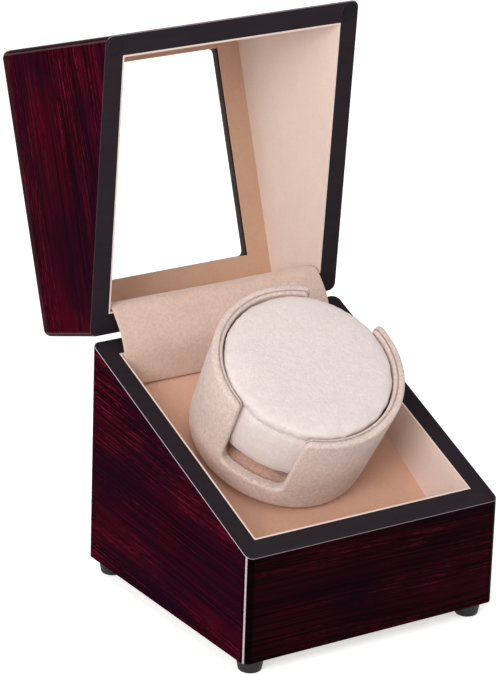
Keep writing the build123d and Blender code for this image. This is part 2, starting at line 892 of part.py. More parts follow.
def cup_radius(point):
    """How far a point lies from the cup's axis."""
    local = cup_plane.to_local_coords(point)
    return (local.X**2 + local.Y**2) ** 0.5


def shoulder_edges(part):
    """The edges across the wall where the notches meet the mouth."""
    across = part.edges().filter_by(GeomType.LINE)
    return [e for e in across if abs(mouth_plane.to_local_coords(e @ 0.5).Z) < 0.05]


def lip_edges(part, outside):
    """The edges round the mouth and down the notches, on one face of the wall."""
    chosen = []
    for edge in part.edges():
        ends = (edge @ 0, edge @ 1)
        heights = [cup_plane.to_local_coords(end).Z for end in ends]
        radii = [cup_radius(end) for end in ends]
        if outside and min(heights) > notch_floor_height - 0.01 and min(radii) > cup_low_radius - 0.5:
            chosen.append(edge)
        wall_inside = mouth_bore_radius + 0.3 > max(radii) and min(radii) > cushion_seat_radius - 0.01
        if not outside and wall_inside and max(heights) > cushion_seat_height + 0.01:
            chosen.append(edge)
    return chosen


with BuildPart() as cup_shell:
    with BuildSketch(cup_side):
        with BuildLine():
            Polyline(
                (cup_cavity_radius, 0),
                (cup_foot_radius, 0),
                (cup_low_radius, cup_low_height),
                (cup_high_radius, above_mouth),
                (mouth_bore_radius, above_mouth),
                (cushion_seat_radius, cushion_seat_height),
                (cup_floor_radius, cushion_seat_height),
                (cup_floor_radius, cup_floor_height),
                (0, cup_floor_height),
                (0, cavity_height),
                (cup_cavity_radius, cavity_height),
                close=True,
            )
        make_face()
    revolve(axis=cup_axis)
    foot_edges = cup_shell.edges().filter_by(GeomType.CIRCLE).sort_by(cup_axis)
    fillet([e for e in foot_edges[:2] if e.radius > cup_foot_radius - 0.1], cup_foot_round)
    column(cup_plane, [(0, 0)], hub_screw_radius + screw_slack, 0, cup_floor_height, Mode.SUBTRACT)
    column(
        cup_plane,
        [(0, 0)],
        hub_screw_head + screw_slack,
        screw_seat,
        cup_floor_height,
        Mode.SUBTRACT,
    )
    split(bisect_by=mouth_plane, keep=Keep.BOTTOM)
    with BuildSketch(notch_plane):
        with BuildLine():
            Polyline(
                (-notch_bottom_width / 2, notch_floor_height),
                (notch_bottom_width / 2, notch_floor_height),
                (notch_high_width / 2, above_mouth + cup_lip_round),
                (-notch_high_width / 2, above_mouth + cup_lip_round),
                close=True,
            )
        notch_face = make_face()
        fillet(notch_face.vertices().group_by(Axis.Y)[0], notch_floor_round)
    extrude(amount=2 * cup_mouth_radius, both=True, mode=Mode.SUBTRACT)
    fillet(shoulder_edges(cup_shell.part), notch_shoulder_round)
    fillet(lip_edges(cup_shell.part, True), cup_lip_round)
    fillet(lip_edges(cup_shell.part, False), cup_inner_lip_round)
cup_shell.part.label = "cup_shell"
export_step(cup_shell.part, "parts/cup_shell.step")

with BuildPart() as cup_floor_pad:
    column(
        cup_plane,
        [(0, 0)],
        cup_floor_radius - floor_pad_gap,
        cup_floor_height,
        cup_floor_height + floor_pad_thickness,
    )
cup_floor_pad.part.label = "cup_floor_pad"
export_step(cup_floor_pad.part, "parts/cup_floor_pad.step")

with BuildPart() as cup_hub:
    column(cup_plane, [(0, 0)], hub_radius, cavity_height - hub_thickness, cavity_height)
    column(cup_plane, [(0, 0)], hub_boss_radius, 0, cavity_height - hub_thickness)
    column(cup_plane, [(0, 0)], spindle_radius, 0, spindle_top, Mode.SUBTRACT)
    column(cup_plane, [(0, 0)], hub_screw_radius, 0, cavity_height, Mode.SUBTRACT)
cup_hub.part.label = "cup_hub"
export_step(cup_hub.part, "parts/cup_hub.step")

with BuildPart() as hub_screw:
    column(cup_plane, [(0, 0)], hub_screw_head, screw_seat, cup_floor_height)
    column(cup_plane, [(0, 0)], hub_screw_radius, spindle_top - hub_screw_grip, screw_seat)
hub_screw.part.label = "hub_screw"
export_step(hub_screw.part, "parts/hub_screw.step")

with BuildPart() as spindle:
    column(
        deck_plane,
        [(0, 0)],
        spindle_radius,
        journal_length + journal_end_gap - floor_bottom,
        cup_gap + spindle_top,
    )
    column(deck_plane, [(0, 0)], journal_radius, journal_end_gap - floor_bottom, -low_top)
    column(
        cup_plane,
        [(0, 0)],
        hub_screw_radius,
        spindle_top - hub_screw_grip,
        spindle_top,
        Mode.SUBTRACT,
    )
spindle.part.label = "spindle"
export_step(spindle.part, "parts/spindle.step")

with BuildPart() as spindle_bush:
    column(deck_plane, [(0, 0)], bush_radius, -under_deck, -lining)
    column(deck_plane, [(0, 0)], flange_radius, -lining, bush_flange_height - lining)
    column(
        deck_plane, [(0, 0)], spindle_radius + running_clearance, -under_deck, 0, Mode.SUBTRACT
    )
spindle_bush.part.label = "spindle_bush"
export_step(spindle_bush.part, "parts/spindle_bush.step")

# Cushion: a drawn-in drum with a crowned top, parallel to the cup's mouth
cushion_radius = cushion_seat_radius - cushion_gap
cushion_bottom = cushion_seat_height + cushion_lift_off_seat
seam_radius = cushion_radius - cushion_draw_in
crown_radius = (seam_radius**2 + cushion_crown**2) / (2 * cushion_crown)
crown_centre = cup_plane.offset(cushion_seam_height).origin + mouth_way * (
    cushion_crown - crown_radius
)
with BuildPart() as cushion:
    with BuildSketch(cup_side):
        with BuildLine():
            Line((0, cushion_bottom), (seam_radius, cushion_bottom))
            ThreePointArc(
                (seam_radius, cushion_bottom),
                (cushion_radius, cushion_waist_height),
                (seam_radius, 2 * cushion_waist_height - cushion_bottom),
            )
            Line(
                (seam_radius, 2 * cushion_waist_height - cushion_bottom),
                (seam_radius, cushion_seam_height + cushion_seat_height),
            )
            Line(
                (seam_radius, cushion_seam_height + cushion_seat_height),
                (0, cushion_seam_height + cushion_seat_height),
            )
            Line((0, cushion_seam_height + cushion_seat_height), (0, cushion_bottom))
        make_face()
    revolve(axis=cup_axis)
    bottom_edge = cushion.edges().filter_by(GeomType.CIRCLE).sort_by(cup_axis)[0]
    fillet(bottom_edge, cushion_bottom_round)
    with Locations(Location(crown_centre)):
        Sphere(crown_radius, mode=Mode.INTERSECT)
cushion.part.label = "cushion"
export_step(cushion.part, "parts/cushion.step")

# Gear train
with BuildPart() as spindle_gear:
    with BuildSketch(below_deck(high_bottom)):
        involute_gear(spindle_teeth, wheel_addendum, wheel_dedendum, 0)
        Circle(spindle_radius, mode=Mode.SUBTRACT)
    extrude(amount=high_gear_thickness)
spindle_gear.part.label = "spindle_gear"
export_step(spindle_gear.part, "parts/spindle_gear.step")

with BuildPart() as idler_gear:
    with BuildSketch(below_deck(low_top)):
        with Locations((idler_x, 0)):
            involute_gear(pinion_teeth, pinion_addendum, pinion_dedendum, half_pinion_pitch)
    extrude(amount=low_top - high_top)
    with BuildSketch(below_deck(low_bottom)):
        with Locations((idler_x, 0)):
            involute_gear(idler_wheel_teeth, wheel_addendum, wheel_dedendum, 0)
    extrude(amount=low_gear_thickness)
    column(
        deck_plane,
        [(idler_x, 0)],
        idler_pin_radius + running_clearance,
        -low_bottom,
        -high_top,
        Mode.SUBTRACT,
    )
idler_gear.part.label = "idler_gear"
export_step(idler_gear.part, "parts/idler_gear.step")

with BuildPart() as idler_pin:
    column(deck_plane, [(idler_x, 0)], idler_pin_radius, -floor_bottom, -under_deck)
idler_pin.part.label = "idler_pin"
export_step(idler_pin.part, "parts/idler_pin.step")

with BuildPart() as motor_pinion:
    with BuildSketch(below_deck(low_bottom)):
        with Locations((motor_x, 0)):
            involute_gear(pinion_teeth, pinion_addendum, pinion_dedendum, half_pinion_pitch)
            Circle(motor_shaft_radius, mode=Mode.SUBTRACT)
    extrude(amount=low_gear_thickness)
motor_pinion.part.label = "motor_pinion"
export_step(motor_pinion.part, "parts/motor_pinion.step")

with BuildPart() as motor_shaft:
    column(
        deck_plane,
        [(motor_x, 0)],
        motor_shaft_radius,
        running_clearance - floor_bottom - motor_shaft_depth,
        -low_top,
    )
motor_shaft.part.label = "motor_shaft"
export_step(motor_shaft.part, "parts/motor_shaft.step")

# Gearbox: a cover against the deck, and a tray that carries the pin, the journal and the motor
with BuildPart() as gearbox_cover:
    with BuildSketch(below_deck(under_plate)):
        with Locations((gearbox_middle, 0)):
            RectangleRounded(
                gearbox_length + 2 * gearbox_wall, 2 * (gearbox_half + gearbox_wall), gearbox_corner
            )
        Circle(spindle_radius + spindle_hole_gap, mode=Mode.SUBTRACT)
        with Locations((idler_x, 0)):
            Circle(idler_pin_radius, mode=Mode.SUBTRACT)
        with Locations(*gearbox_screw_spots):
            Circle(gearbox_screw_radius + screw_slack, mode=Mode.SUBTRACT)
    extrude(amount=gearbox_plate)
gearbox_cover.part.label = "gearbox_cover"
export_step(gearbox_cover.part, "parts/gearbox_cover.step")

with BuildPart() as gearbox_tray:
    with BuildSketch(below_deck(floor_bottom)):
        with Locations((gearbox_middle, 0)):
            RectangleRounded(
                gearbox_length + 2 * gearbox_wall, 2 * (gearbox_half + gearbox_wall), gearbox_corner
            )
    extrude(amount=floor_bottom - under_plate)
    with BuildSketch(below_deck(floor_top)):
        with Locations((gearbox_middle, 0)):
            Rectangle(gearbox_length, 2 * gearbox_half)
    extrude(amount=floor_top - under_plate, mode=Mode.SUBTRACT)
    column(deck_plane, gearbox_screw_spots, gearbox_boss, -floor_bottom, -under_plate)
    column(
        deck_plane,
        gearbox_screw_spots,
        gearbox_screw_radius + screw_slack,
        -floor_bottom,
        -under_plate,
        Mode.SUBTRACT,
    )
    column(
        deck_plane,
        [(0, 0)],
        journal_radius + running_clearance,
        -floor_bottom,
        -floor_top,
        Mode.SUBTRACT,
    )
    column(deck_plane, [(idler_x, 0)], idler_pin_radius, -floor_bottom, -floor_top, Mode.SUBTRACT)
    column(
        deck_plane,
        [(motor_x, 0)],
        motor_nose_radius + motor_nose_gap,
        -floor_bottom,
        -floor_top,
        Mode.SUBTRACT,
    )
    column(
        deck_plane,
        motor_screw_spots,
        motor_screw_radius + screw_slack,
        -floor_bottom,
        -floor_top,
        Mode.SUBTRACT,
    )
gearbox_tray.part.label = "gearbox_tray"
export_step(gearbox_tray.part, "parts/gearbox_tray.step")

with BuildPart() as gearbox_screws:
    column(
        deck_plane,
        gearbox_screw_spots,
        gearbox_screw_head,
        -floor_bottom - gearbox_screw_head_height,
        -floor_bottom,
    )
    column(
        deck_plane, gearbox_screw_spots, gearbox_screw_radius, -floor_bottom, -gearbox_screw_end
    )
gearbox_screws.part.label = "gearbox_screws"
export_step(gearbox_screws.part, "parts/gearbox_screws.step")

with BuildPart() as motor_can:
    column(deck_plane, [(motor_x, 0)], motor_radius, -floor_bottom - motor_length, -floor_bottom)
    column(deck_plane, [(motor_x, 0)], motor_nose_radius, -floor_bottom, -floor_top)
    column(
        deck_plane,
        [(motor_x, 0)],
        motor_shaft_radius + running_clearance,
        -floor_bottom - motor_shaft_depth,
        -floor_top,
        Mode.SUBTRACT,
    )
    column(
        deck_plane,
        motor_screw_spots,
        motor_screw_radius + screw_slack,
        -floor_bottom - motor_screw_grip - screw_slack,
        -floor_bottom,
        Mode.SUBTRACT,
    )
motor_can.part.label = "motor_can"
export_step(motor_can.part, "parts/motor_can.step")

with BuildPart() as motor_cap:
    cap_top = -floor_bottom - motor_length
    column(deck_plane, [(motor_x, 0)], motor_cap_radius, cap_top - motor_cap_thickness, cap_top)
motor_cap.part.label = "motor_cap"
export_step(motor_cap.part, "parts/motor_cap.step")

with BuildPart() as motor_terminals:
    with BuildSketch(below_deck(floor_bottom + motor_length + motor_cap_thickness)):
        with Locations((motor_x, -terminal_offset), (motor_x, terminal_offset)):
            Rectangle(terminal_width, terminal_thickness)
    extrude(amount=-terminal_length)
motor_terminals.part.label = "motor_terminals"
export_step(motor_terminals.part, "parts/motor_terminals.step")

with BuildPart() as motor_screws:
    column(
        deck_plane,
        motor_screw_spots,
        motor_screw_head,
        -floor_top,
        motor_screw_head_height - floor_top,
    )
    column(
        deck_plane, motor_screw_spots, motor_screw_radius, -floor_bottom - motor_screw_grip, -floor_top
    )
motor_screws.part.label = "motor_screws"
export_step(motor_screws.part, "parts/motor_screws.step")

# Controls on the back wall
control_back = plate_back - control_depth
with BuildPart() as control_plate:
    with BuildSketch(controls_plane.offset(plate_back)):
        RectangleRounded(plate_width, plate_height, plate_corner)
        with Locations((knob_offset, 0)):
            Circle(knob_stem_radius + running_clearance, mode=Mode.SUBTRACT)
        with Locations((inlet_offset, 0)):
            Circle(inlet_snout_radius + screw_slack, mode=Mode.SUBTRACT)
    extrude(amount=plate_thickness)
    flush_screws(
        controls_plane.offset(plate_proud),
        plate_screw_spots,
        plate_screw_radius,
        plate_thickness,
        plate_screw_depth,
        screw_slack,
        Mode.SUBTRACT,
    )
control_plate.part.label = "control_plate"
export_step(control_plate.part, "parts/control_plate.step")

with BuildPart() as plate_screws:
    flush_screws(
        controls_plane.offset(plate_proud),
        plate_screw_spots,
        plate_screw_radius,
        plate_screw_length,
        plate_screw_depth,
    )
plate_screws.part.label = "plate_screws"
export_step(plate_screws.part, "parts/plate_screws.step")

knob_foot = plate_proud + knob_gap
knob_top = knob_foot + knob_height
with BuildPart() as mode_knob:
    column(controls_plane, [(knob_offset, 0)], knob_radius, knob_foot, knob_top)
    fillet(mode_knob.faces().sort_by(Axis.Y)[-1].edges(), knob_edge)
    with BuildSketch(controls_plane.offset(knob_foot)):
        with Locations((knob_offset, 0)):
            with PolarLocations(knob_radius, knob_flutes, start_angle=180.0 / knob_flutes):
                Circle(knob_flute_radius)
    extrude(amount=knob_height, mode=Mode.SUBTRACT)
    with BuildSketch(controls_plane.offset(knob_top - pointer_depth)):
        with Locations((knob_offset, knob_radius / 2)):
            Rectangle(pointer_width, knob_radius)
    extrude(amount=pointer_depth, mode=Mode.SUBTRACT)
    column(
        controls_plane,
        [(knob_offset, 0)],
        knob_stem_radius,
        plate_back - knob_stem_depth,
        knob_foot,
    )
mode_knob.part.label = "mode_knob"
export_step(mode_knob.part, "parts/mode_knob.step")

with BuildPart() as mode_switch:
    with BuildSketch(controls_plane.offset(control_back)):
        with Locations((knob_offset, 0)):
            Rectangle(switch_width, switch_width)
    extrude(amount=control_depth)
    column(
        controls_plane,
        [(knob_offset, 0)],
        knob_stem_radius + running_clearance,
        plate_back - knob_stem_depth - knob_gap,
        plate_back,
        Mode.SUBTRACT,
    )
mode_switch.part.label = "mode_switch"
export_step(mode_switch.part, "parts/mode_switch.step")

with BuildPart() as power_inlet:
    with BuildSketch(controls_plane.offset(control_back)):
        with Locations((inlet_offset, 0)):
            Rectangle(inlet_width, inlet_width)
    extrude(amount=control_depth)
    column(controls_plane, [(inlet_offset, 0)], inlet_snout_radius, plate_back, plate_proud)
    column(
        controls_plane,
        [(inlet_offset, 0)],
        inlet_bore,
        plate_proud - inlet_bore_depth,
        plate_proud,
        Mode.SUBTRACT,
    )
    column(
        controls_plane,
        [(inlet_offset, 0)],
        inlet_pin_radius,
        plate_proud - inlet_bore_depth,
        plate_proud - inlet_pin_recess,
    )
power_inlet.part.label = "power_inlet"
export_step(power_inlet.part, "parts/power_inlet.step")

with BuildPart() as control_board:
    with BuildSketch(controls_plane.offset(control_back)):
        Rectangle(board_width, board_height)
    extrude(amount=-board_thickness)
    with BuildSketch(controls_plane.offset(control_back - board_thickness)):
        Rectangle(chip_width, chip_height)
    extrude(amount=-chip_thickness)
control_board.part.label = "control_board"
export_step(control_board.part, "parts/control_board.step")
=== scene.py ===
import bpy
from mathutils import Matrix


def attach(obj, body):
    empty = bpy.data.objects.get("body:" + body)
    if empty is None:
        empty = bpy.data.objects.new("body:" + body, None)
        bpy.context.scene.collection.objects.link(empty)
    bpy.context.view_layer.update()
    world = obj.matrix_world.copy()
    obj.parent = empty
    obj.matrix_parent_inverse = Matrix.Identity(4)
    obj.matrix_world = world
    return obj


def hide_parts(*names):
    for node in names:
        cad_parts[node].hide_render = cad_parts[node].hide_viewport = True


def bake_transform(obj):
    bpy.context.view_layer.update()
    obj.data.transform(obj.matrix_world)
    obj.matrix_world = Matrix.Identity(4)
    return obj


bl_info = {
    "name": "Watch Winder Finish",
    "version": (1, 0, 0),
    "blender": (4, 5, 0),
    "location": "View3D > Sidebar > Winder",
    "description": "Lacquer, suede, cushion and stage for a lidded watch winder",
    "category": "Object",
}

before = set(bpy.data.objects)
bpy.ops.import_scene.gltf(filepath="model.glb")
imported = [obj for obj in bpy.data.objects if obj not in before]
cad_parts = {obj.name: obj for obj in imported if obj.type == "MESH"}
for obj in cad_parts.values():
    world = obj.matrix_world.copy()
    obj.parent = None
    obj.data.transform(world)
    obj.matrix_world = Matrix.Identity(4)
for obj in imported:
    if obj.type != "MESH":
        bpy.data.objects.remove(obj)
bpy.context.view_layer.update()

from math import atan2, cos, dist, pi, radians, sin

import bmesh
import bpy
from bpy.props import FloatProperty, FloatVectorProperty, IntProperty, PointerProperty
from mathutils import Matrix, Vector

# Places and sizes that several pieces share, in metres, and angles, in degrees
DECK_ANGLE = 29.5
OPEN_ANGLE = 108.6
RIM_ANGLE = 22.335
HINGE = Vector((0.0, 0.024403, 0.109133))
CUP_FOOT = Vector((0.0, -0.026233, 0.067644))
CASE_MIDDLE = Vector((0.0, -0.041242, 0.007))
CASE_HALF = (0.065, 0.0645, 1.0)
# The low side of the cup's mouth: its turn about the cup's axis, and the way there
NOTCH_TURN = radians(-142.0)
NOTCH_WAY = Vector((cos(NOTCH_TURN), sin(NOTCH_TURN)))
MOUTH_TILT = radians(6.4)
CUP_PLACE = Matrix.Translation(CUP_FOOT) @ Matrix.Rotation(radians(DECK_ANGLE), 4, "X")
WINDOW_MIDDLE_Y = -0.0036
WINDOW_HALF = (0.044, 0.0481)
WINDOW_REVEAL = 0.0003
KNOB = Vector((-0.016, 0.023258, 0.041))
CUP_SEAM_RADIUS = 0.0399
# The slow wave of the cushion's seam: how often round it, and how high
SEAM_WAVES = 9.0
SEAM_WAVE_HEIGHT = 0.00035
# How squarely a face looks along the rim's normal: the fillet's share, which gets a painted
# highlight, and the flat's
FILLET_FACING = (0.42, 0.60)
RIM_FACING = (0.80, 0.93)


def color(name, description, default):
    """A colour property, linear, with its default."""
    return FloatVectorProperty(
        name=name, description=description, default=default, subtype="COLOR", size=3, min=0, max=1
    )


def length(name, description, default):
    """A length property in metres."""
    return FloatProperty(
        name=name, description=description, default=default, min=0, unit="LENGTH", precision=4
    )


class LacquerFinish(bpy.types.PropertyGroup):
    """Colours of the lacquered veneer"""

    dark: color("Dark Stripe", "Colour of the black stripes", (0.0085, 0.0003, 0.0030))
    red: color("Red Stripe", "Colour of the red stripes", (0.054, 0.0007, 0.0075))
    thread: color("Bright Thread", "Colour of the fine bright fibres", (0.165, 0.008, 0.022))
    smoke: color("Smoke", "Colour of the dark clouds in the veneer", (0.0085, 0.0010, 0.0068))
    # The rim colour is the rims' charcoal paint, made lighter to stand in for their gloss
    # reflection: partly painted reflection.
    rim: color("Rim", "Colour of the painted rims", (0.025, 0.0185, 0.0225))
    # Painted highlight: the edge colour is laid as a light line on the rounded upright corners and
    # the rim's fillets.
    edge: color("Painted Edge Light", "Colour of the rubbed edges", (0.50, 0.42, 0.45))
    corner: length("Corner", "Radius of the rounded upright corners", 0.003)
    stripe_width: length("Stripe Width", "Mean width of a stripe", 0.006)


class SuedeFinish(bpy.types.PropertyGroup):
    """Colours of the suede and the plush"""

    lining: color("Lining", "Colour of the lining", (0.77, 0.622, 0.552))
    # The lid top and the deck have the lining's suede made darker and browner: painted shade, for
    # the shadow and warm bounced light inside the box.
    roof: color("Lid Top", "Colour of the suede round the window", (0.58, 0.37, 0.26))
    deck: color("Deck", "Colour of the deck's suede", (0.67, 0.40, 0.285))
    flap: color("Hinge Strip", "Colour of the strip over the hinge", (0.70, 0.51, 0.43))
    # The cup floor's colour is the pad's own peach suede, made brighter to make up for the shadow
    # in the cup: partly painted light.
    pad: color("Cup Floor", "Colour of the pad in the cup", (0.90, 0.54, 0.43))
    cup: color("Cup", "Colour of the cup's suede", (0.80, 0.63, 0.57))
    cushion: color("Cushion", "Colour of the cushion's plush", (0.78, 0.685, 0.66))
    nap: length("Nap", "Size of the fine nap", 0.0004)


class FlapSizes(bpy.types.PropertyGroup):
    """Sizes of the cloth strip over the hinge"""

    half_width: length("Half Width", "Half the strip's width", 0.0546)
    thickness: length("Thickness", "Thickness of the cloth", 0.0009)
    ripple: length("Ripple", "Depth of its slight waves", 0.0004)


class CushionSizes(bpy.types.PropertyGroup):
    """Sizes of the round cushion"""

    radius: length("Radius", "Radius of the side band", 0.0375)
    bottom: length("Bottom", "Height of its bottom over the cup's foot", 0.0163)
    seam: length("Seam", "Mean height of the top seam over the cup's foot", 0.0465)
    crown: length("Crown", "Rise of the top over its seam", 0.0052)
    swell: length("Swell", "Most that the filling swells the cloth", 0.0007)
    groove: length("Seam Groove", "Depth of the sewn seam", 0.0007)
    frames: IntProperty(name="Frames", description="Steps of the filling", default=16, min=2)


class StageSettings(bpy.types.PropertyGroup):
    """Camera, lights and floor"""

    eye: FloatVectorProperty(
        name="Camera",
        description="Place of the camera",
        default=(-0.8180, -1.22784, 0.6712),
        size=3,
        subtype="TRANSLATION",
    )
    yaw: FloatProperty(name="Yaw", description="Turn to the right", default=33.74)
    pitch: FloatProperty(name="Pitch", description="Tilt downwards", default=20.928)
    roll: FloatProperty(name="Roll", description="Turn about the view", default=1.94)
    lens: FloatProperty(name="Lens", description="Focal length for a 36 mm sensor", default=258.9)
    ambient: FloatProperty(name="Ambient", description="Strength of the sky", default=0.44, min=0)
    floor: color("Floor", "Colour of the floor", (0.93, 0.93, 0.93))


class WinderSettings(bpy.types.PropertyGroup):
    """All settings of the winder"""

    lacquer: PointerProperty(type=LacquerFinish)
    suede: PointerProperty(type=SuedeFinish)
    flap: PointerProperty(type=FlapSizes)
    cushion: PointerProperty(type=CushionSizes)
    stage: PointerProperty(type=StageSettings)


def rgba(value, alpha=1.0):
    """A colour with its alpha."""
    return (value[0], value[1], value[2], alpha)


class Graph:
    """Adds nodes to one node tree and joins them."""

    def __init__(self, tree):
        self.tree = tree

    def add(self, kind, inputs=None, **settings):
        node = self.tree.nodes.new(kind)
        for key, value in settings.items():
            setattr(node, key, value)
        for key, value in (inputs or {}).items():
            if isinstance(value, bpy.types.NodeSocket):
                self.tree.links.new(value, node.inputs[key])
            else:
                node.inputs[key].default_value = value
        return node

    def math(self, operation, a, b=0.0, c=0.0):
        return self.add("ShaderNodeMath", {0: a, 1: b, 2: c}, operation=operation).outputs[0]

    def vector(self, operation, a, b=(0.0, 0.0, 0.0)):
        node = self.add("ShaderNodeVectorMath", {0: a, 1: b}, operation=operation)
        return node.outputs["Value" if operation == "DOT_PRODUCT" else "Vector"]

    def ramp(self, fac, low, high, a=0.0, b=1.0):
        """The share of fac between two values, eased, between a and b."""
        node = self.add(
            "ShaderNodeMapRange",
            {"Value": fac, "From Min": low, "From Max": high, "To Min": a, "To Max": b},
            interpolation_type="SMOOTHSTEP",
        )
        return node.outputs["Result"]

    def mix(self, fac, a, b, blend="MIX"):
        node = self.add("ShaderNodeMix", {0: fac, 6: a, 7: b}, data_type="RGBA", blend_type=blend)
        return node.outputs[2]

    def noise(self, vector, scale, detail=3.0, rough=0.5, distortion=0.0):
        node = self.add(
            "ShaderNodeTexNoise",
            {
                "Vector": vector,
                "Scale": scale,
                "Detail": detail,
                "Roughness": rough,
                "Distortion": distortion,
            },
        )
        return node.outputs[0]

    def scaled(self, vector, x, y, z):
        return self.vector("MULTIPLY", vector, (x, y, z))

    def place(self):
        return self.add("ShaderNodeTexCoord").outputs["Object"]

    def facing(self):
        return self.add("ShaderNodeTexCoord").outputs["Normal"]

    def turned(self, vector, angle, centre=(0.0, 0.0, 0.0)):
        node = self.add(
            "ShaderNodeVectorRotate",
            {"Vector": vector, "Center": centre, "Angle": radians(angle)},
            rotation_type="X_AXIS",
        )
        return node.outputs[0]

    def split(self, vector):
        node = self.add("ShaderNodeSeparateXYZ", {0: vector})
        return node.outputs[0], node.outputs[1], node.outputs[2]

    def join(self, x, y, z):
        return self.add("ShaderNodeCombineXYZ", {0: x, 1: y, 2: z}).outputs[0]

    def group(self, tree, inputs):
        return self.add("ShaderNodeGroup", inputs, node_tree=tree).outputs

    def bump(self, height, strength, distance):
        node = self.add(
            "ShaderNodeBump", {"Height": height, "Strength": strength, "Distance": distance}
        )
        return node.outputs[0]


def new_group(name, inputs, outputs):
    """An empty node group with its sockets; returns its graph, input and output nodes."""
    tree = bpy.data.node_groups.new(name, "ShaderNodeTree")
    for label, kind, default in inputs:
        socket = tree.interface.new_socket(label, in_out="INPUT", socket_type="NodeSocket" + kind)
        socket.default_value = default
    for label, kind in outputs:
        tree.interface.new_socket(label, in_out="OUTPUT", socket_type="NodeSocket" + kind)
    graph = Graph(tree)
    start = graph.add("NodeGroupInput")
    end = graph.add("NodeGroupOutput")
    return graph, start.outputs, end.inputs


def put(graph, value, socket):
    """Join a value to a group's output."""
    graph.tree.links.new(value, socket)


def striped_veneer():
    """Stripes, threads and cross figure of the veneer: x across the stripes, y along them."""
    tree = bpy.data.node_groups.get("Striped Veneer")
    if tree:
        return tree
    g, start, end = new_group(
        "Striped Veneer",
        [("Vector", "Vector", (0.0, 0.0, 0.0)), ("Stripes per Metre", "Float", 165.0)],
        [("Stripe", "Float"), ("Thread", "Float"), ("Figure", "Float")],
    )
    vector, rate = start["Vector"], start["Stripes per Metre"]
    drift = g.math("SUBTRACT", g.noise(g.scaled(vector, 7.0, 7.0, 7.0), 1.0, 1.0), 0.5)
    across, along, deep = g.split(vector)
    bent = g.join(g.math("MULTIPLY_ADD", drift, 0.008, across), along, deep)
    broad = g.noise(g.scaled(bent, 0.26, 0.010, 0.03), rate, 2.0, 0.5)
    band = g.noise(g.scaled(bent, 1.5, 0.022, 0.05), rate, 2.0, 0.6)
    line = g.noise(g.scaled(bent, 8.0, 0.070, 0.12), rate, 2.0, 0.6)
    stripe = g.math("MULTIPLY_ADD", broad, 0.26, g.math("MULTIPLY", band, 0.24))
    stripe = g.math("MULTIPLY_ADD", line, 0.50, stripe)
    put(g, g.ramp(stripe, 0.435, 0.585), end["Stripe"])
    fine = g.noise(g.scaled(bent, 9.0, 0.16, 0.3), rate, 2.0, 0.6)
    hair = g.noise(g.scaled(bent, 12.0, 1.6, 1.6), rate, 2.0, 0.6)
    where = g.ramp(g.noise(g.scaled(bent, 0.42, 0.035, 0.06), rate, 2.0), 0.36, 0.60)
    threads = g.math("MULTIPLY", g.ramp(fine, 0.50, 0.62), g.ramp(hair, 0.40, 0.56))
    put(g, g.math("MULTIPLY", threads, where), end["Thread"])
    blocks = g.noise(g.scaled(bent, 0.14, 0.10, 0.1), rate, 2.0, 0.5)
    put(g, g.ramp(blocks, 0.34, 0.66), end["Figure"])
    return g.tree


def edge_highlight_and_shade():
    """The rounded upright corners of a box: a painted highlight line on each side wall, and a
    painted shade arc round the corner.
    """
    tree = bpy.data.node_groups.get("Painted Edge Light")
    if tree:
        return tree
    g, start, end = new_group(
        "Painted Edge Light",
        [
            ("Vector", "Vector", (0.0, 0.0, 0.0)),
            ("Middle", "Vector", (0.0, 0.0, 0.0)),
            ("Half Size", "Vector", (1.0, 1.0, 1.0)),
            ("Radius", "Float", 0.003),
        ],
        [("Edge", "Float"), ("Arc", "Float")],
    )
    inside = g.vector("ABSOLUTE", g.vector("SUBTRACT", start["Vector"], start["Middle"]))
    x, y, _ = g.split(g.vector("SUBTRACT", start["Half Size"], inside))
    off_side = g.math("DIVIDE", x, start["Radius"])
    off_end = g.math("DIVIDE", y, start["Radius"])
    line = g.math("MULTIPLY", g.ramp(off_end, 0.44, 0.54), g.ramp(off_end, 0.68, 0.80, 1.0, 0.0))
    put(g, g.math("MULTIPLY", line, g.ramp(off_side, 0.40, 0.60, 1.0, 0.0)), end["Edge"])
    near_side = g.ramp(off_side, 0.9, 1.5, 1.0, 0.0)
    near_end = g.ramp(off_end, 0.9, 1.2, 1.0, 0.0)
    put(g, g.math("MULTIPLY", near_side, near_end), end["Arc"])
    return g.tree


def napped_suede():
    """Mottled tone and fine nap of a brushed cloth."""
    tree = bpy.data.node_groups.get("Napped Suede")
    if tree:
        return tree
    g, start, end = new_group(
        "Napped Suede",
        [("Vector", "Vector", (0.0, 0.0, 0.0)), ("Nap Size", "Float", 0.0004)],
        [("Tone", "Float"), ("Nap", "Float")],
    )
    vector, size = start["Vector"], start["Nap Size"]
    fine_rate = g.math("DIVIDE", 1.0, size)
    grain = g.noise(vector, fine_rate, 3.0, 0.65)
    clump_rate = g.math("MULTIPLY", fine_rate, 0.36)
    clump = g.noise(vector, clump_rate, 3.0, 0.6, 0.4)
    patch = g.noise(vector, g.math("MULTIPLY", fine_rate, 0.028), 3.0, 0.55, 0.6)
    nap = g.math("MULTIPLY_ADD", grain, 0.55, g.math("MULTIPLY", clump, 0.45))
    put(g, nap, end["Nap"])
    tone = g.math("MULTIPLY_ADD", patch, 0.24, g.math("MULTIPLY", nap, 0.76))
    put(g, g.ramp(tone, 0.36, 0.64), end["Tone"])
    return g.tree


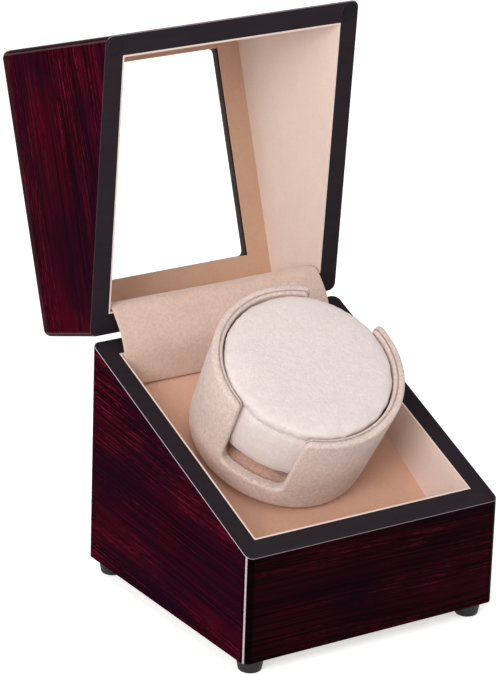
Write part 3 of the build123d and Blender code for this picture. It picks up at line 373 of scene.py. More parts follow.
def fine_speckle():
    """A slight unevenness for moulded and painted surfaces."""
    tree = bpy.data.node_groups.get("Fine Speckle")
    if tree:
        return tree
    g, start, end = new_group(
        "Fine Speckle",
        [("Vector", "Vector", (0.0, 0.0, 0.0)), ("Size", "Float", 0.0006)],
        [("Speckle", "Float"), ("Patch", "Float")],
    )
    rate = g.math("DIVIDE", 1.0, start["Size"])
    put(g, g.noise(start["Vector"], rate, 2.0, 0.6), end["Speckle"])
    patch = g.noise(start["Vector"], g.math("MULTIPLY", rate, 0.04), 3.0)
    put(g, g.ramp(patch, 0.35, 0.65), end["Patch"])
    return g.tree


def new_material(name, **sockets):
    """A material with a Principled shader; returns it, its graph and the shader."""
    material = bpy.data.materials.new(name)
    material.use_nodes = True
    shader = material.node_tree.nodes["Principled BSDF"]
    for key, value in sockets.items():
        shader.inputs[key.replace("_", " ")].default_value = value
    return material, Graph(material.node_tree), shader


def feed(graph, value, shader, socket):
    """Join a value to the shader."""
    graph.tree.links.new(value, shader.inputs[socket])


def dress(material, *nodes):
    """Give CAD nodes their material."""
    for name in nodes:
        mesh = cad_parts[name].data
        mesh.materials.clear()
        mesh.materials.append(material)


def opened(vector):
    """A direction of the closed lid, as the open lid has it."""
    return Matrix.Rotation(radians(-OPEN_ANGLE), 3, "X") @ Vector(vector)


def lacquer(
    name,
    across,
    turn,
    rim_normal,
    tilt=0.0,
    top=None,
    reveal=False,
    gloss=0.012,
    depth=1.0,
    painted_edge_light=(1, 1),
):
    """Gloss veneer. across names the axis over the stripes after the turn about X, depth is the
    veneer's brightness, and rub how strongly the painted highlight and painted shade go on the
    upright corners and the rim's edge."""
    finish = bpy.context.scene.winder.lacquer
    material, g, shader = new_material(
        name, Roughness=0.07, Specular_IOR_Level=gloss, Coat_Weight=0.0
    )
    place = g.turned(g.place(), turn, tuple(HINGE) if turn else (0.0, 0.0, 0.0))
    x, y, z = g.split(g.turned(place, tilt) if tilt else place)
    order = {"z_side": (z, y, x), "z_front": (z, x, y), "x_top": (x, y, z)}
    grain = g.join(*order[across])
    facing = g.facing()
    if top:
        on_top = g.math("ABSOLUTE", g.vector("DOT_PRODUCT", facing, tuple(opened(top))))
        pick = g.ramp(on_top, 0.55, 0.75)
        grain = g.add(
            "ShaderNodeMix", {0: pick, 4: grain, 5: g.join(*order["x_top"])}, data_type="VECTOR"
        ).outputs[1]
    rate = 1.0 / finish.stripe_width
    veneer = g.group(striped_veneer(), {"Vector": grain, "Stripes per Metre": rate})
    body = g.mix(veneer["Stripe"], rgba(finish.dark), rgba(finish.red))
    body = g.mix(g.math("MULTIPLY", veneer["Thread"], 0.9), body, rgba(finish.thread))
    cloud = g.math("MULTIPLY", g.math("SUBTRACT", 1.0, veneer["Figure"]), 0.72)
    body = g.mix(cloud, body, rgba(finish.smoke))
    body = g.mix(1.0, body, rgba((depth, depth, depth)), "MULTIPLY")
    rimward = g.vector("DOT_PRODUCT", facing, tuple(rim_normal))
    rim = g.ramp(rimward, *RIM_FACING)
    off_rim = g.ramp(rimward, *RIM_FACING, 1.0, 0.0)
    corner = g.group(
        edge_highlight_and_shade(),
        {
            "Vector": place,
            "Middle": tuple(CASE_MIDDLE),
            "Half Size": CASE_HALF,
            "Radius": finish.corner,
        },
    )
    # Painted shade: the arc of each rounded upright corner is darkened towards black.
    body = g.mix(g.math("MULTIPLY", corner["Arc"], 0.75 * painted_edge_light[0]), body, rgba((0.0, 0.0, 0.0)))
    # Painted highlight: a light line on each side wall by the upright corners, and along the rim's
    # fillets.
    upright = g.math("MULTIPLY", g.math("MULTIPLY", corner["Edge"], off_rim), painted_edge_light[0])
    rounded = g.math("MULTIPLY", g.ramp(rimward, *FILLET_FACING), off_rim)
    highlit = g.math("MAXIMUM", upright, g.math("MULTIPLY", rounded, painted_edge_light[1]))
    if reveal:
        window_x, window_y, _ = g.split(place)
        off_x = g.math("ABSOLUTE", window_x)
        off_x = g.math("SUBTRACT", off_x, WINDOW_HALF[0] + WINDOW_REVEAL)
        middle = CASE_MIDDLE.y + WINDOW_MIDDLE_Y
        off_y = g.math("ABSOLUTE", g.math("SUBTRACT", window_y, middle))
        off_y = g.math("SUBTRACT", off_y, WINDOW_HALF[1] + WINDOW_REVEAL)
        inside = g.math("LESS_THAN", g.math("MAXIMUM", off_x, off_y), 0.0)
        rim = g.math("MAXIMUM", rim, inside)
    painted = g.noise(g.scaled(grain, 900.0, 30.0, 60.0), 1.0, 3.0, 0.6)
    paint_shade = g.math("MULTIPLY_ADD", painted, 0.3, 0.85)
    # The rim paint: the rims' own charcoal, lightened in part as a painted reflection.
    paint = g.mix(1.0, rgba(finish.rim), g.join(*[paint_shade] * 3), "MULTIPLY")
    feed(g, g.mix(highlit, g.mix(rim, body, paint), rgba(finish.edge)), shader, "Base Color")
    ripple = g.noise(g.place(), 55.0, 2.0, 0.5)
    feed(g, g.bump(ripple, 0.12, 0.0006), shader, "Normal")
    return material


def cloth(name, tone, nap, depth=0.35, contrast=0.16, sheen=0.35, strength=0.35):
    """A napped cloth; returns the material, its graph, the shader and the colour socket."""
    material, g, shader = new_material(
        name,
        Roughness=0.92,
        Specular_IOR_Level=0.12,
        Sheen_Weight=sheen,
        Sheen_Roughness=0.45,
        Sheen_Tint=rgba((1.0, 0.93, 0.88)),
    )
    suede = g.group(napped_suede(), {"Vector": g.place(), "Nap Size": nap})
    dark = [value * (1.0 - contrast) for value in tone]
    light = [min(1.0, value * (1.0 + contrast * 0.55)) for value in tone]
    base = g.mix(suede["Tone"], rgba(dark), rgba(light))
    feed(g, base, shader, "Base Color")
    feed(g, g.bump(suede["Nap"], strength, nap * depth), shader, "Normal")
    return material, g, shader, base


def moulded(name, tone, rough=0.45, size=0.0006, specular=0.4, bump=0.15):
    """A moulded or painted surface with a fine texture."""
    material, g, shader = new_material(name, Specular_IOR_Level=specular)
    speckle = g.group(fine_speckle(), {"Vector": g.place(), "Size": size})
    dark = [value * 0.82 for value in tone]
    light = [min(1.0, value * 1.12) for value in tone]
    feed(g, g.mix(speckle["Patch"], rgba(dark), rgba(light)), shader, "Base Color")
    feed(g, g.ramp(speckle["Speckle"], 0.3, 0.7, rough - 0.06, rough + 0.08), shader, "Roughness")
    feed(g, g.bump(speckle["Speckle"], bump, size * 0.4), shader, "Normal")
    return material


def colours_of(material):
    """The graph, the shader and the colour socket of a finished material."""
    shader = material.node_tree.nodes["Principled BSDF"]
    return Graph(material.node_tree), shader, shader.inputs["Base Color"].links[0].from_socket


def metal(name, tone, rough=0.28, stretch=(1500.0, 60.0, 1500.0)):
    """A turned or brushed metal with fine lines."""
    material, g, shader = new_material(name, Metallic=1.0)
    lines = g.noise(g.scaled(g.place(), *stretch), 1.0, 3.0, 0.6)
    patch = g.noise(g.place(), 160.0, 3.0)
    dark = [value * 0.78 for value in tone]
    feed(g, g.mix(g.ramp(patch, 0.3, 0.7), rgba(dark), rgba(tone)), shader, "Base Color")
    feed(g, g.ramp(lines, 0.3, 0.7, rough - 0.08, rough + 0.12), shader, "Roughness")
    feed(g, g.bump(lines, 0.08, 0.0001), shader, "Normal")
    return material


def new_piece(name, shape, material):
    """A smooth mesh object at the origin, made from a bmesh."""
    mesh = bpy.data.meshes.new(name)
    bmesh.ops.recalc_face_normals(shape, faces=shape.faces)
    shape.to_mesh(mesh)
    shape.free()
    mesh.materials.append(material)
    for polygon in mesh.polygons:
        polygon.use_smooth = True
    piece = bpy.data.objects.new(name, mesh)
    bpy.context.scene.collection.objects.link(piece)
    return piece


def apply_modifiers(piece):
    """Bake a piece's modifiers into its mesh."""
    graph = bpy.context.evaluated_depsgraph_get()
    baked = bpy.data.meshes.new_from_object(piece.evaluated_get(graph), depsgraph=graph)
    piece.modifiers.clear()
    old = piece.data
    piece.data = baked
    bpy.data.meshes.remove(old)


def cup_local(g):
    """Object coordinates turned into the cup's own: z along its axis from its foot."""
    upright = g.turned(g.place(), -DECK_ANGLE, tuple(CUP_FOOT))
    return g.vector("SUBTRACT", upright, tuple(CUP_FOOT))


class WINDER_OT_wood(bpy.types.Operator):
    """Lacquer the walls of the case and the lid, and finish the boards inside"""

    bl_idname = "winder.wood"
    bl_label = "Lacquered Wood"

    def execute(self, context):
        case_rim = Vector((0, -sin(radians(RIM_ANGLE)), cos(radians(RIM_ANGLE))))
        lid_rim = -opened(case_rim)
        case, lid = (0.0, case_rim), (OPEN_ANGLE, lid_rim)
        sides = lacquer("lacquer_case_side", "z_side", *case, tilt=-4.0, gloss=0.002)
        dress(sides, "case_left_panel", "case_right_panel")
        ends = lacquer("lacquer_case_end", "z_front", *case, depth=0.42, painted_edge_light=(1, 0.45))
        dress(ends, "case_front_panel", "case_back_panel")
        sides = lacquer("lacquer_lid_side", "z_side", *lid, gloss=0.002, painted_edge_light=(0.1, 0.08))
        dress(sides, "lid_left_panel", "lid_right_panel")
        ends = lacquer("lacquer_lid_end", "z_front", *lid, gloss=0.003, depth=0.7, painted_edge_light=(0.1, 0.7))
        dress(ends, "lid_front_panel", "lid_back_panel")
        top = lacquer("lacquer_lid_top", "z_side", *lid, top=(0, 0, 1), reveal=True, painted_edge_light=(0.1, 0.3))
        dress(top, "lid_top_frame")
        material, g, shader = new_material("bare_board", Roughness=0.75, Specular_IOR_Level=0.2)
        fibre = g.noise(g.scaled(g.place(), 90.0, 1400.0, 1400.0), 1.0, 4.0, 0.65)
        base = g.mix(g.ramp(fibre, 0.3, 0.7), rgba((0.30, 0.19, 0.105)), rgba((0.48, 0.34, 0.21)))
        feed(g, base, shader, "Base Color")
        feed(g, g.bump(fibre, 0.3, 0.0003), shader, "Normal")
        dress(material, "case_base", "deck_board")
        return {"FINISHED"}


class WINDER_OT_linings(bpy.types.Operator):
    """Line the case and the lid with suede"""

    bl_idname = "winder.linings"
    bl_label = "Suede Linings"

    def execute(self, context):
        suede = context.scene.winder.suede
        lining = cloth("suede_lining", suede.lining, suede.nap, contrast=0.06, strength=0.22)[0]
        for side in ("left", "right", "front", "back"):
            dress(lining, f"case_lining_{side}", f"lid_lining_{side}")
        # Painted shade: the lid top and the deck take darker, browner suede than the lining.
        roof = cloth("suede_roof", suede.roof, suede.nap, contrast=0.06, strength=0.22)[0]
        dress(roof, "lid_lining_top")
        deck = cloth("suede_deck", suede.deck, suede.nap, contrast=0.08, strength=0.25)[0]
        dress(deck, "deck_lining")
        return {"FINISHED"}


class WINDER_OT_flap(bpy.types.Operator):
    """Lay the cloth strip over the hinge gap"""

    bl_idname = "winder.flap"
    bl_label = "Hinge Strip"

    def execute(self, context):
        sizes = context.scene.winder.flap
        suede = context.scene.winder.suede
        half = sizes.half_width
        # From this share of the way over the lid, the outer columns draw in by this much
        narrow_from, narrowing = 0.72, 0.028
        # The strip's run seen from the side, bottom first: y and z from the case's middle
        run = [
            (0.0535, 0.0820),
            (0.0535, 0.0880),
            (0.0535, 0.0935),
            (0.0538, 0.0985),
            (0.0555, 0.1033),
            (0.0583, 0.1079),
            (0.0612, 0.1111),
            (0.0643, 0.1146),
            (0.0673, 0.1159),
            (0.0715, 0.1148),
            (0.0765, 0.1124),
            (0.0808, 0.1107),
            (0.0848, 0.1092),
        ]
        shape = bmesh.new()
        columns = 18
        first = Vector((-half, CASE_MIDDLE.y + run[0][0], CASE_MIDDLE.z + run[0][1]))
        row = [shape.verts.new(first)]
        for _ in range(columns):
            made = bmesh.ops.extrude_vert_indiv(shape, verts=[row[-1]])
            bmesh.ops.translate(shape, verts=made["verts"], vec=(2 * half / columns, 0, 0))
            row += made["verts"]
        edges = list(shape.edges)
        for before, after in zip(run, run[1:]):
            made = bmesh.ops.extrude_edge_only(shape, edges=edges)["geom"]
            edges = [item for item in made if isinstance(item, bmesh.types.BMEdge)]
            moved = [item for item in made if isinstance(item, bmesh.types.BMVert)]
            step = (0, after[0] - before[0], after[1] - before[1])
            bmesh.ops.translate(shape, verts=moved, vec=step)
        end_y = CASE_MIDDLE.y + run[-1][0]
        crest_y = CASE_MIDDLE.y + max(run, key=lambda point: point[1])[0]
        for vert in shape.verts:
            side = abs(vert.co.x) / half
            along = max(0.0, min(1.0, (vert.co.y - crest_y) / (end_y - crest_y)))
            wave = sin(vert.co.x * 95.0 + 0.6) * 0.6 + sin(vert.co.x * 41.0 + vert.co.z * 60.0)
            free = max(0.0, 1.0 - abs(vert.co.z - 0.118) / 0.022)
            vert.co.y -= sizes.ripple * wave * free
            if side > 0.88 and along > narrow_from:
                vert.co.x *= 1.0 - narrowing * (along - narrow_from) / (1.0 - narrow_from)
        material = cloth(
            "suede_strip", suede.flap, suede.nap * 1.3, depth=1.0, contrast=0.15, strength=0.9
        )[0]
        piece = new_piece("hinge_strip", shape, material)
        solid = piece.modifiers.new("Thickness", "SOLIDIFY")
        solid.thickness = sizes.thickness
        solid.offset = 0.0
        smooth = piece.modifiers.new("Smooth", "SUBSURF")
        smooth.levels = smooth.render_levels = 3
        apply_modifiers(piece)
        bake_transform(piece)
        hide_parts("hinge_flap")
        return {"FINISHED"}


class WINDER_OT_cup(bpy.types.Operator):
    """Cover the cup with suede and its sewn lip"""

    bl_idname = "winder.cup"
    bl_label = "Cup"

    def execute(self, context):
        suede = context.scene.winder.suede
        material, g, shader, base = cloth(
            "suede_cup", suede.cup, suede.nap * 1.4, depth=1.8, contrast=0.22, strength=1.0
        )
        x, y, z = g.split(cup_local(g))
        radius = g.math("SQRT", g.math("MULTIPLY_ADD", x, x, g.math("MULTIPLY", y, y)))
        off = g.math("ABSOLUTE", g.math("SUBTRACT", radius, CUP_SEAM_RADIUS))
        above = g.ramp(z, 0.0160, 0.0200)
        seam = g.math("MULTIPLY", g.ramp(off, 0.0001, 0.00038, 1.0, 0.0), above)
        sewn = g.mix(g.math("MULTIPLY", seam, 0.55), base, rgba((0.20, 0.115, 0.08)))
        feed(g, sewn, shader, "Base Color")
        nap = shader.inputs["Normal"].links[0].from_node
        height = g.math("MAXIMUM", g.ramp(off, 0.0, 0.0007), g.math("SUBTRACT", 1.0, above))
        pressed = g.add(
            "ShaderNodeBump",
            {"Height": height, "Strength": 0.9, "Distance": 0.0005, "Normal": nap.outputs[0]},
        )
        feed(g, pressed.outputs[0], shader, "Normal")
        dress(material, "cup_shell")
        # Partly painted light: the cup floor's suede is brighter than its own tone, against the
        # shadow in the cup.
        pad = cloth(
            "suede_cup_floor", suede.pad, suede.nap * 1.8, depth=1.4, contrast=0.28, strength=1.0
        )[0]
        dress(pad, "cup_floor_pad")
        return {"FINISHED"}


class WINDER_OT_cushion(bpy.types.Operator):
    """Fill and sew the round cushion"""

    bl_idname = "winder.cushion"
    bl_label = "Cushion"

    def outline(self, sizes):
        """The cushion's half section: radius and height over the cup's foot."""
        r, low, high = sizes.radius, sizes.bottom, sizes.seam
        span = high - low
        return [
            (0.0, low),
            (r * 0.55, low),
            (r * 0.85, low + 0.0004),
            (r * 0.945, low + 0.0022),
            (r * 0.988, low + 0.0055),
            (r, low + span * 0.45),
            (r, low + span * 0.80),
            (r * 0.998, high),
            (r * 1.002, high + sizes.crown * 0.26),
            (r * 1.002, high + sizes.crown * 0.50),
            (r * 0.985, high + sizes.crown * 0.76),
            (r * 0.90, high + sizes.crown * 0.90),
            (r * 0.60, high + sizes.crown * 0.98),
            (0.0, high + sizes.crown),
        ]

    def slant(self, shape, sizes):
        """Tilt everything above the bottom towards the notch, as the cup's mouth is."""
        for vert in shape.verts:
            share = max(0.0, (vert.co.z - sizes.bottom) / (sizes.seam - sizes.bottom))
            vert.co.z -= min(1.0, share) * vert.co.to_2d().dot(NOTCH_WAY) * sin(MOUTH_TILT)

    def fill(self, piece, sizes):
        """Swell the cloth with a cloth simulation, and cap how far a point may move."""
        context = bpy.context
        context.view_layer.objects.active = piece
        remesh = piece.modifiers.new("Remesh", "REMESH")
        remesh.mode = "VOXEL"
        remesh.voxel_size = 0.0022
        apply_modifiers(piece)
        start = [vert.co.copy() for vert in piece.data.vertices]
        pinned = piece.vertex_groups.new(name="sewn")
        for vert in piece.data.vertices:
            height = self.seam_height(vert.co, sizes)
            if abs(height) < 0.0013 or vert.co.z < sizes.bottom + 0.0012:
                pinned.add([vert.index], 1.0, "REPLACE")
        modifier = piece.modifiers.new("Cloth", "CLOTH")
        settings = modifier.settings
        settings.quality = 6
        settings.mass = 0.2
        settings.tension_stiffness = settings.compression_stiffness = 12.0
        settings.bending_stiffness = 1.2
        settings.use_pressure = True
        settings.uniform_pressure_force = 5.0
        settings.vertex_group_mass = "sewn"
        settings.effector_weights.gravity = 0.0
        settings.shrink_min = -0.02
        modifier.point_cache.frame_start = 1
        modifier.point_cache.frame_end = sizes.frames
        for number in range(1, sizes.frames + 1):
            context.scene.frame_set(number)
        graph = context.evaluated_depsgraph_get()
        swollen = piece.evaluated_get(graph).to_mesh()
        moved = [vert.co.copy() for vert in swollen.vertices]
        piece.evaluated_get(graph).to_mesh_clear()
        piece.modifiers.clear()
        context.scene.frame_set(1)
        for vert, before, after in zip(piece.data.vertices, start, moved):
            step = after - before
            if step.length > sizes.swell:
                step *= sizes.swell / step.length
            vert.co = before + step
        piece.vertex_groups.clear()

    def seam_height(self, point, sizes):
        """How far a point lies above the slanted plane of the top seam."""
        return point.z - sizes.seam + point.to_2d().dot(NOTCH_WAY) * sin(MOUTH_TILT)

    def sew(self, piece, sizes):
        """Press the sewn seam in, with its slight puckers."""
        for vert in piece.data.vertices:
            flat = vert.co.to_2d()
            if flat.length < sizes.radius * 0.8:
                continue
            angle = atan2(flat.y, flat.x)
            height = self.seam_height(vert.co, sizes)
            height += SEAM_WAVE_HEIGHT * sin(angle * SEAM_WAVES)
            height += 0.0002 * sin(angle * 23.0 + 1.0)
            near = max(0.0, 1.0 - (height / 0.0016) ** 2)
            pucker = 0.5 + 0.5 * sin(angle * 64.0 + 1.3 * sin(angle * 7.0))
            close = max(0.0, 1.0 - abs(height) / 0.0045)
            inward = sizes.groove * near + 0.00022 * pucker * close
            vert.co.x -= flat.x / flat.length * inward
            vert.co.y -= flat.y / flat.length * inward

    def execute(self, context):
        sizes = context.scene.winder.cushion
        suede = context.scene.winder.suede
        shape = bmesh.new()
        points = [shape.verts.new((r, 0, z)) for r, z in self.outline(sizes)]
        edges = [shape.edges.new(pair) for pair in zip(points, points[1:])]
        bmesh.ops.spin(
            shape,
            geom=points + edges,
            axis=(0, 0, 1),
            cent=(0, 0, 0),
            angle=2 * pi,
            steps=72,
            use_merge=True,
        )
        bmesh.ops.remove_doubles(shape, verts=shape.verts, dist=0.00002)
        self.slant(shape, sizes)
        material, g, shader, base = cloth(
            "plush_cushion",
            suede.cushion,
            suede.nap * 1.1,
            depth=0.9,
            contrast=0.07,
            sheen=0.5,
            strength=0.45,
        )
        x, y, z = g.split(cup_local(g))
        lean = g.math("MULTIPLY_ADD", x, NOTCH_WAY.x, g.math("MULTIPLY", y, NOTCH_WAY.y))
        over = g.math("MULTIPLY_ADD", lean, sin(MOUTH_TILT), g.math("SUBTRACT", z, sizes.seam))
        angle = g.math("ARCTAN2", y, x)
        wave = g.math("SINE", g.math("MULTIPLY", angle, SEAM_WAVES))
        wobble = g.math("MULTIPLY", wave, SEAM_WAVE_HEIGHT)
        line = g.ramp(g.math("ABSOLUTE", g.math("ADD", over, wobble)), 0.00006, 0.00032, 1.0, 0.0)
        stitch = g.ramp(g.math("SINE", g.math("MULTIPLY", angle, 110.0)), -0.5, 0.3, 0.55, 1.0)
        seam = g.math("MULTIPLY", g.math("MULTIPLY", line, stitch), 0.5)
        lay = g.noise(g.scaled(g.place(), 60.0, 60.0, 60.0), 1.0, 3.0, 0.55, 1.2)
        flattened = rgba([value * 0.88 for value in suede.cushion])
        base = g.mix(g.ramp(lay, 0.38, 0.62, 0.0, 0.30), base, flattened)
        tuft = g.noise(g.place(), 420.0, 3.0, 0.6, 0.8)
        shaded = rgba([value * 0.86 for value in suede.cushion])
        base = g.mix(g.ramp(tuft, 0.40, 0.62, 0.0, 0.34), base, shaded)
        nap = shader.inputs["Normal"].links[0].from_node
        brushed = g.add(
            "ShaderNodeBump",
            {
                "Height": g.math("ADD", tuft, lay),
                "Strength": 0.5,
                "Distance": 0.0007,
                "Normal": nap.outputs[0],
            },
        )
        feed(g, brushed.outputs[0], shader, "Normal")
        feed(g, g.mix(seam, base, rgba((0.36, 0.26, 0.21))), shader, "Base Color")
        piece = new_piece("cushion_plush", shape, material)
        self.fill(piece, sizes)
        smooth = piece.modifiers.new("Smooth", "SUBSURF")
        smooth.levels = smooth.render_levels = 1
        apply_modifiers(piece)
        self.sew(piece, sizes)
        piece.data.transform(CUP_PLACE)
        for polygon in piece.data.polygons:
            polygon.use_smooth = True
        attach(piece, "cushion")
        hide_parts("cushion")
        return {"FINISHED"}


class WINDER_OT_window(bpy.types.Operator):
    """Glaze the lid's window"""

    bl_idname = "winder.window"
    bl_label = "Window Glass"

    def execute(self, context):
        material, g, shader = new_material(
            "clear_glass", Transmission_Weight=1.0, IOR=1.45, Specular_IOR_Level=0.5
        )
        smear = g.noise(g.place(), 14.0, 3.0, 0.6)
        feed(g, g.ramp(smear, 0.35, 0.75, 0.0, 0.012), shader, "Roughness")
        tint = g.mix(g.ramp(smear, 0.3, 0.7), rgba((0.985, 0.995, 0.99)), rgba((1, 1, 1)))
        feed(g, tint, shader, "Base Color")
        dress(material, "window_glass")
        return {"FINISHED"}


class WINDER_OT_hinges(bpy.types.Operator):
    """Finish the hinges, their screws and the spindle's bush in brass"""

    bl_idname = "winder.hinges"
    bl_label = "Hinges"

    def execute(self, context):
        brass = metal("satin_brass", (0.78, 0.56, 0.24), 0.3, (60.0, 1500.0, 1500.0))
        dress(brass, "case_hinge_leaves", "lid_hinge_leaves", "hinge_pins", "spindle_bush")
        screws = metal("screw_brass", (0.70, 0.50, 0.22), 0.35)
        dress(screws, "case_hinge_screws", "lid_hinge_screws")
        return {"FINISHED"}


class WINDER_OT_drive(bpy.types.Operator):
    """Finish the motor, its gears and their box"""

    bl_idname = "winder.drive"
    bl_label = "Drive"

    def execute(self, context):
        steel = metal("turned_steel", (0.62, 0.62, 0.63), 0.25)
        dress(steel, "spindle", "idler_pin", "motor_shaft")
        can = metal("zinced_steel", (0.55, 0.56, 0.58), 0.34, (200.0, 200.0, 200.0))
        dress(can, "motor_can")
        screws = metal("screw_steel", (0.50, 0.50, 0.52), 0.32)
        dress(screws, "gearbox_screws", "motor_screws", "hub_screw")
        gears = moulded("gear_white", (0.78, 0.77, 0.72), 0.42)
        dress(gears, "spindle_gear", "idler_gear", "motor_pinion")
        dress(moulded("hub_grey", (0.30, 0.30, 0.29), 0.5), "cup_hub")
        housing = moulded("box_black", (0.022, 0.022, 0.023), 0.5)
        dress(housing, "gearbox_cover", "gearbox_tray", "motor_cap")
        dress(metal("tinned_brass", (0.80, 0.66, 0.40), 0.3), "motor_terminals")
        return {"FINISHED"}


class WINDER_OT_controls(bpy.types.Operator):
    """Finish the plate, knob, inlet and board on the back"""

    bl_idname = "winder.controls"
    bl_label = "Controls"

    def marks(self, g):
        """Five ticks round the knob, as a mask on the plate."""
        x, _, z = g.split(g.vector("SUBTRACT", g.place(), tuple(KNOB)))
        radius = g.math("SQRT", g.math("MULTIPLY_ADD", x, x, g.math("MULTIPLY", z, z)))
        outside = g.ramp(radius, 0.0076, 0.0078)
        band = g.math("MULTIPLY", outside, g.ramp(radius, 0.0092, 0.0094, 1.0, 0.0))
        angle = g.math("DIVIDE", g.math("ARCTAN2", x, z), radians(30.0))
        off = g.math("ABSOLUTE", g.math("SUBTRACT", angle, g.math("ROUND", angle)))
        tick = g.ramp(off, 0.05, 0.08, 1.0, 0.0)
        upper = g.math("LESS_THAN", g.math("ABSOLUTE", angle), 2.4)
        return g.math("MULTIPLY", g.math("MULTIPLY", band, tick), upper)

    def execute(self, context):
        plate = moulded("plate_black", (0.018, 0.018, 0.019), 0.42, 0.0005)
        g, shader, base = colours_of(plate)
        feed(g, g.mix(self.marks(g), base, rgba((0.72, 0.72, 0.70))), shader, "Base Color")
        dress(plate, "control_plate")
        knob = moulded("knob_black", (0.016, 0.016, 0.017), 0.34, 0.0005)
        g, shader, base = colours_of(knob)
        x, y, z = g.split(g.vector("SUBTRACT", g.place(), tuple(KNOB)))
        slot = g.math("LESS_THAN", g.math("ABSOLUTE", x), 0.00052)
        slot = g.math("MULTIPLY", slot, g.math("GREATER_THAN", z, 0.0))
        over, under = g.math("GREATER_THAN", y, 0.0087), g.math("LESS_THAN", y, 0.0091)
        pointer = g.math("MULTIPLY", slot, g.math("MULTIPLY", over, under))
        feed(g, g.mix(pointer, base, rgba((0.8, 0.8, 0.78))), shader, "Base Color")
        dress(knob, "mode_knob")
        dress(moulded("switch_black", (0.024, 0.024, 0.025), 0.5), "mode_switch", "power_inlet")
        dress(metal("screw_zinc", (0.50, 0.50, 0.52), 0.32), "plate_screws")
        material, g, shader = new_material("circuit_board", Roughness=0.38, Specular_IOR_Level=0.5)
        grid = g.add(
            "ShaderNodeTexVoronoi", {"Vector": g.place(), "Scale": 420.0}, distance="CHEBYCHEV"
        )
        tracks = g.ramp(grid.outputs["Distance"], 0.30, 0.34)
        base = g.mix(tracks, rgba((0.012, 0.085, 0.035)), rgba((0.02, 0.15, 0.06)))
        y = g.split(g.place())[1]
        chip = g.math("LESS_THAN", y, 0.0087)
        feed(g, g.mix(chip, base, rgba((0.015, 0.015, 0.016))), shader, "Base Color")
        feed(g, g.bump(tracks, 0.2, 0.00005), shader, "Normal")
        dress(material, "control_board")
        return {"FINISHED"}


class WINDER_OT_feet(bpy.types.Operator):
    """Finish the rubber feet and the lid's bumpers"""

    bl_idname = "winder.feet"
    bl_label = "Feet"

    def execute(self, context):
        dress(moulded("foot_rubber", (0.013, 0.013, 0.014), 0.62, 0.0008, 0.3, 0.3), "feet")
        bumper = moulded("bumper_black", (0.012, 0.009, 0.012), 0.3, 0.0006, 0.06, 0.1)
        g, shader, base = colours_of(bumper)
        # Painted highlight: the bumpers' side walls are lighter than their flat faces, as a light
        # ring round each bumper.
        outward = -opened((0, -sin(radians(RIM_ANGLE)), cos(radians(RIM_ANGLE))))
        flat = g.ramp(g.vector("DOT_PRODUCT", g.facing(), tuple(outward)), 0.75, 0.95)
        feed(g, g.mix(flat, rgba((0.085, 0.072, 0.085)), base), shader, "Base Color")
        dress(bumper, "lid_bumpers")
        return {"FINISHED"}


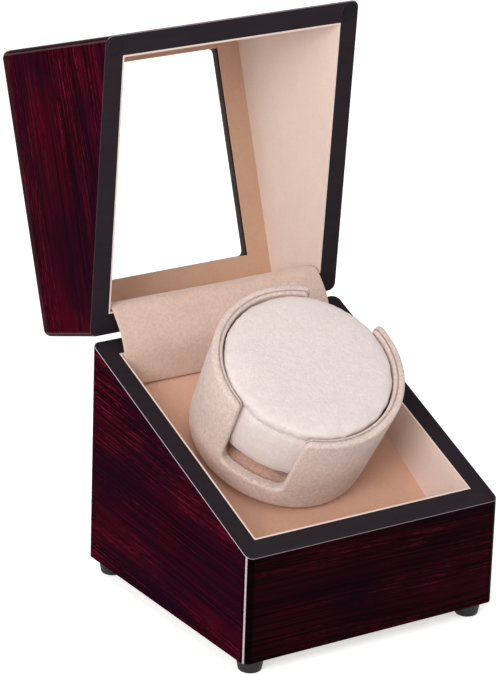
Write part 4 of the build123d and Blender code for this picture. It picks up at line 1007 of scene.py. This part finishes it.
class WINDER_OT_stage(bpy.types.Operator):
    """Set the floor, the soft lights, the sky and the camera"""

    bl_idname = "winder.stage"
    bl_label = "Stage"

    def seen(self, g):
        """1 for rays that see the background: from the camera, a reflection or through glass."""
        path = g.add("ShaderNodeLightPath").outputs
        seen = g.math("MAXIMUM", path["Is Camera Ray"], path["Is Glossy Ray"])
        return g.math("MAXIMUM", seen, path["Is Transmission Ray"])

    def lamp(self, name, place, target, size, power, tint=(1, 1, 1)):
        """A rectangular soft light that points at a target."""
        data = bpy.data.lights.new(name, "AREA")
        data.shape = "RECTANGLE"
        data.size, data.size_y = size
        data.energy = power
        data.color = tint
        lamp = bpy.data.objects.new(name, data)
        lamp.location = place
        lamp.rotation_euler = (Vector(target) - Vector(place)).to_track_quat("-Z", "Y").to_euler()
        bpy.context.scene.collection.objects.link(lamp)

    def execute(self, context):
        settings = context.scene.winder.stage
        scene = context.scene
        shape = bmesh.new()
        bmesh.ops.create_grid(shape, x_segments=2, y_segments=2, size=6.0)
        material, g, shader = new_material("pale_floor", Roughness=0.9, Specular_IOR_Level=0.0)
        grain = g.noise(g.place(), 30.0, 3.0)
        tone = [v * 0.985 for v in settings.floor]
        feed(g, g.mix(grain, rgba(tone), rgba(settings.floor)), shader, "Base Color")
        shine = g.mix(self.seen(g), rgba((0, 0, 0)), rgba((0.57, 0.57, 0.57)))
        feed(g, shine, shader, "Emission Color")
        shader.inputs["Emission Strength"].default_value = 1.0
        floor = new_piece("stage_floor", shape, material)

        world = bpy.data.worlds.new("pale_sky")
        scene.world = world
        world.use_nodes = True
        g = Graph(world.node_tree)
        background = world.node_tree.nodes["Background"]
        strength = g.ramp(self.seen(g), 0.0, 1.0, settings.ambient, 1.0)
        world.node_tree.links.new(strength, background.inputs["Strength"])
        background.inputs["Color"].default_value = rgba((1, 1, 1))

        target = (0.0, -0.02, 0.11)
        self.lamp("key_light", (-1.35, -0.95, 0.80), target, (0.8, 0.8), 20.5, (1.0, 0.985, 0.97))
        self.lamp("fill_light", (1.15, -0.95, 0.75), target, (0.8, 0.9), 2.5, (0.96, 0.98, 1.0))
        self.lamp("top_light", (-0.3, -0.35, 1.50), target, (1.0, 0.8), 4.0)

        data = bpy.data.cameras.new("photo_camera")
        data.sensor_fit = "HORIZONTAL"
        data.sensor_width = 36.0
        data.lens = settings.lens
        data.clip_start, data.clip_end = 0.05, 30.0
        yaw, pitch, roll = (radians(v) for v in (settings.yaw, settings.pitch, settings.roll))
        ahead = Vector((sin(yaw) * cos(pitch), cos(yaw) * cos(pitch), -sin(pitch)))
        right = Vector((cos(yaw), -sin(yaw), 0))
        up = right.cross(ahead)
        right, up = right * cos(roll) + up * sin(roll), up * cos(roll) - right * sin(roll)
        camera = bpy.data.objects.new("photo_camera", data)
        turn = Matrix((right, up, -ahead)).transposed().to_4x4()
        camera.matrix_world = Matrix.Translation(settings.eye) @ turn
        scene.collection.objects.link(camera)
        scene.camera = camera
        scene.view_settings.view_transform = "Standard"
        return {"FINISHED"}


STEPS = (
    "wood",
    "linings",
    "flap",
    "cup",
    "cushion",
    "window",
    "hinges",
    "drive",
    "controls",
    "feet",
    "stage",
)


class WINDER_PT_panel(bpy.types.Panel):
    """Lists the steps of the winder's finish"""

    bl_idname = "WINDER_PT_panel"
    bl_label = "Winder"
    bl_space_type = "VIEW_3D"
    bl_region_type = "UI"
    bl_category = "Winder"

    def draw(self, context):
        for step in STEPS:
            self.layout.operator(f"winder.{step}")
        settings = context.scene.winder
        for part in ("lacquer", "suede", "flap", "cushion", "stage"):
            group = getattr(settings, part)
            box = self.layout.box()
            for name in group.__annotations__:
                box.prop(group, name)


CLASSES = (
    LacquerFinish,
    SuedeFinish,
    FlapSizes,
    CushionSizes,
    StageSettings,
    WinderSettings,
    WINDER_OT_wood,
    WINDER_OT_linings,
    WINDER_OT_flap,
    WINDER_OT_cup,
    WINDER_OT_cushion,
    WINDER_OT_window,
    WINDER_OT_hinges,
    WINDER_OT_drive,
    WINDER_OT_controls,
    WINDER_OT_feet,
    WINDER_OT_stage,
    WINDER_PT_panel,
)


def register():
    for item in CLASSES:
        bpy.utils.register_class(item)
    bpy.types.Scene.winder = PointerProperty(type=WinderSettings)


def unregister():
    del bpy.types.Scene.winder
    for item in reversed(CLASSES):
        bpy.utils.unregister_class(item)


def main():
    register()
    for step in STEPS:
        getattr(bpy.ops.winder, step)()


if __name__ == "__main__":
    main()
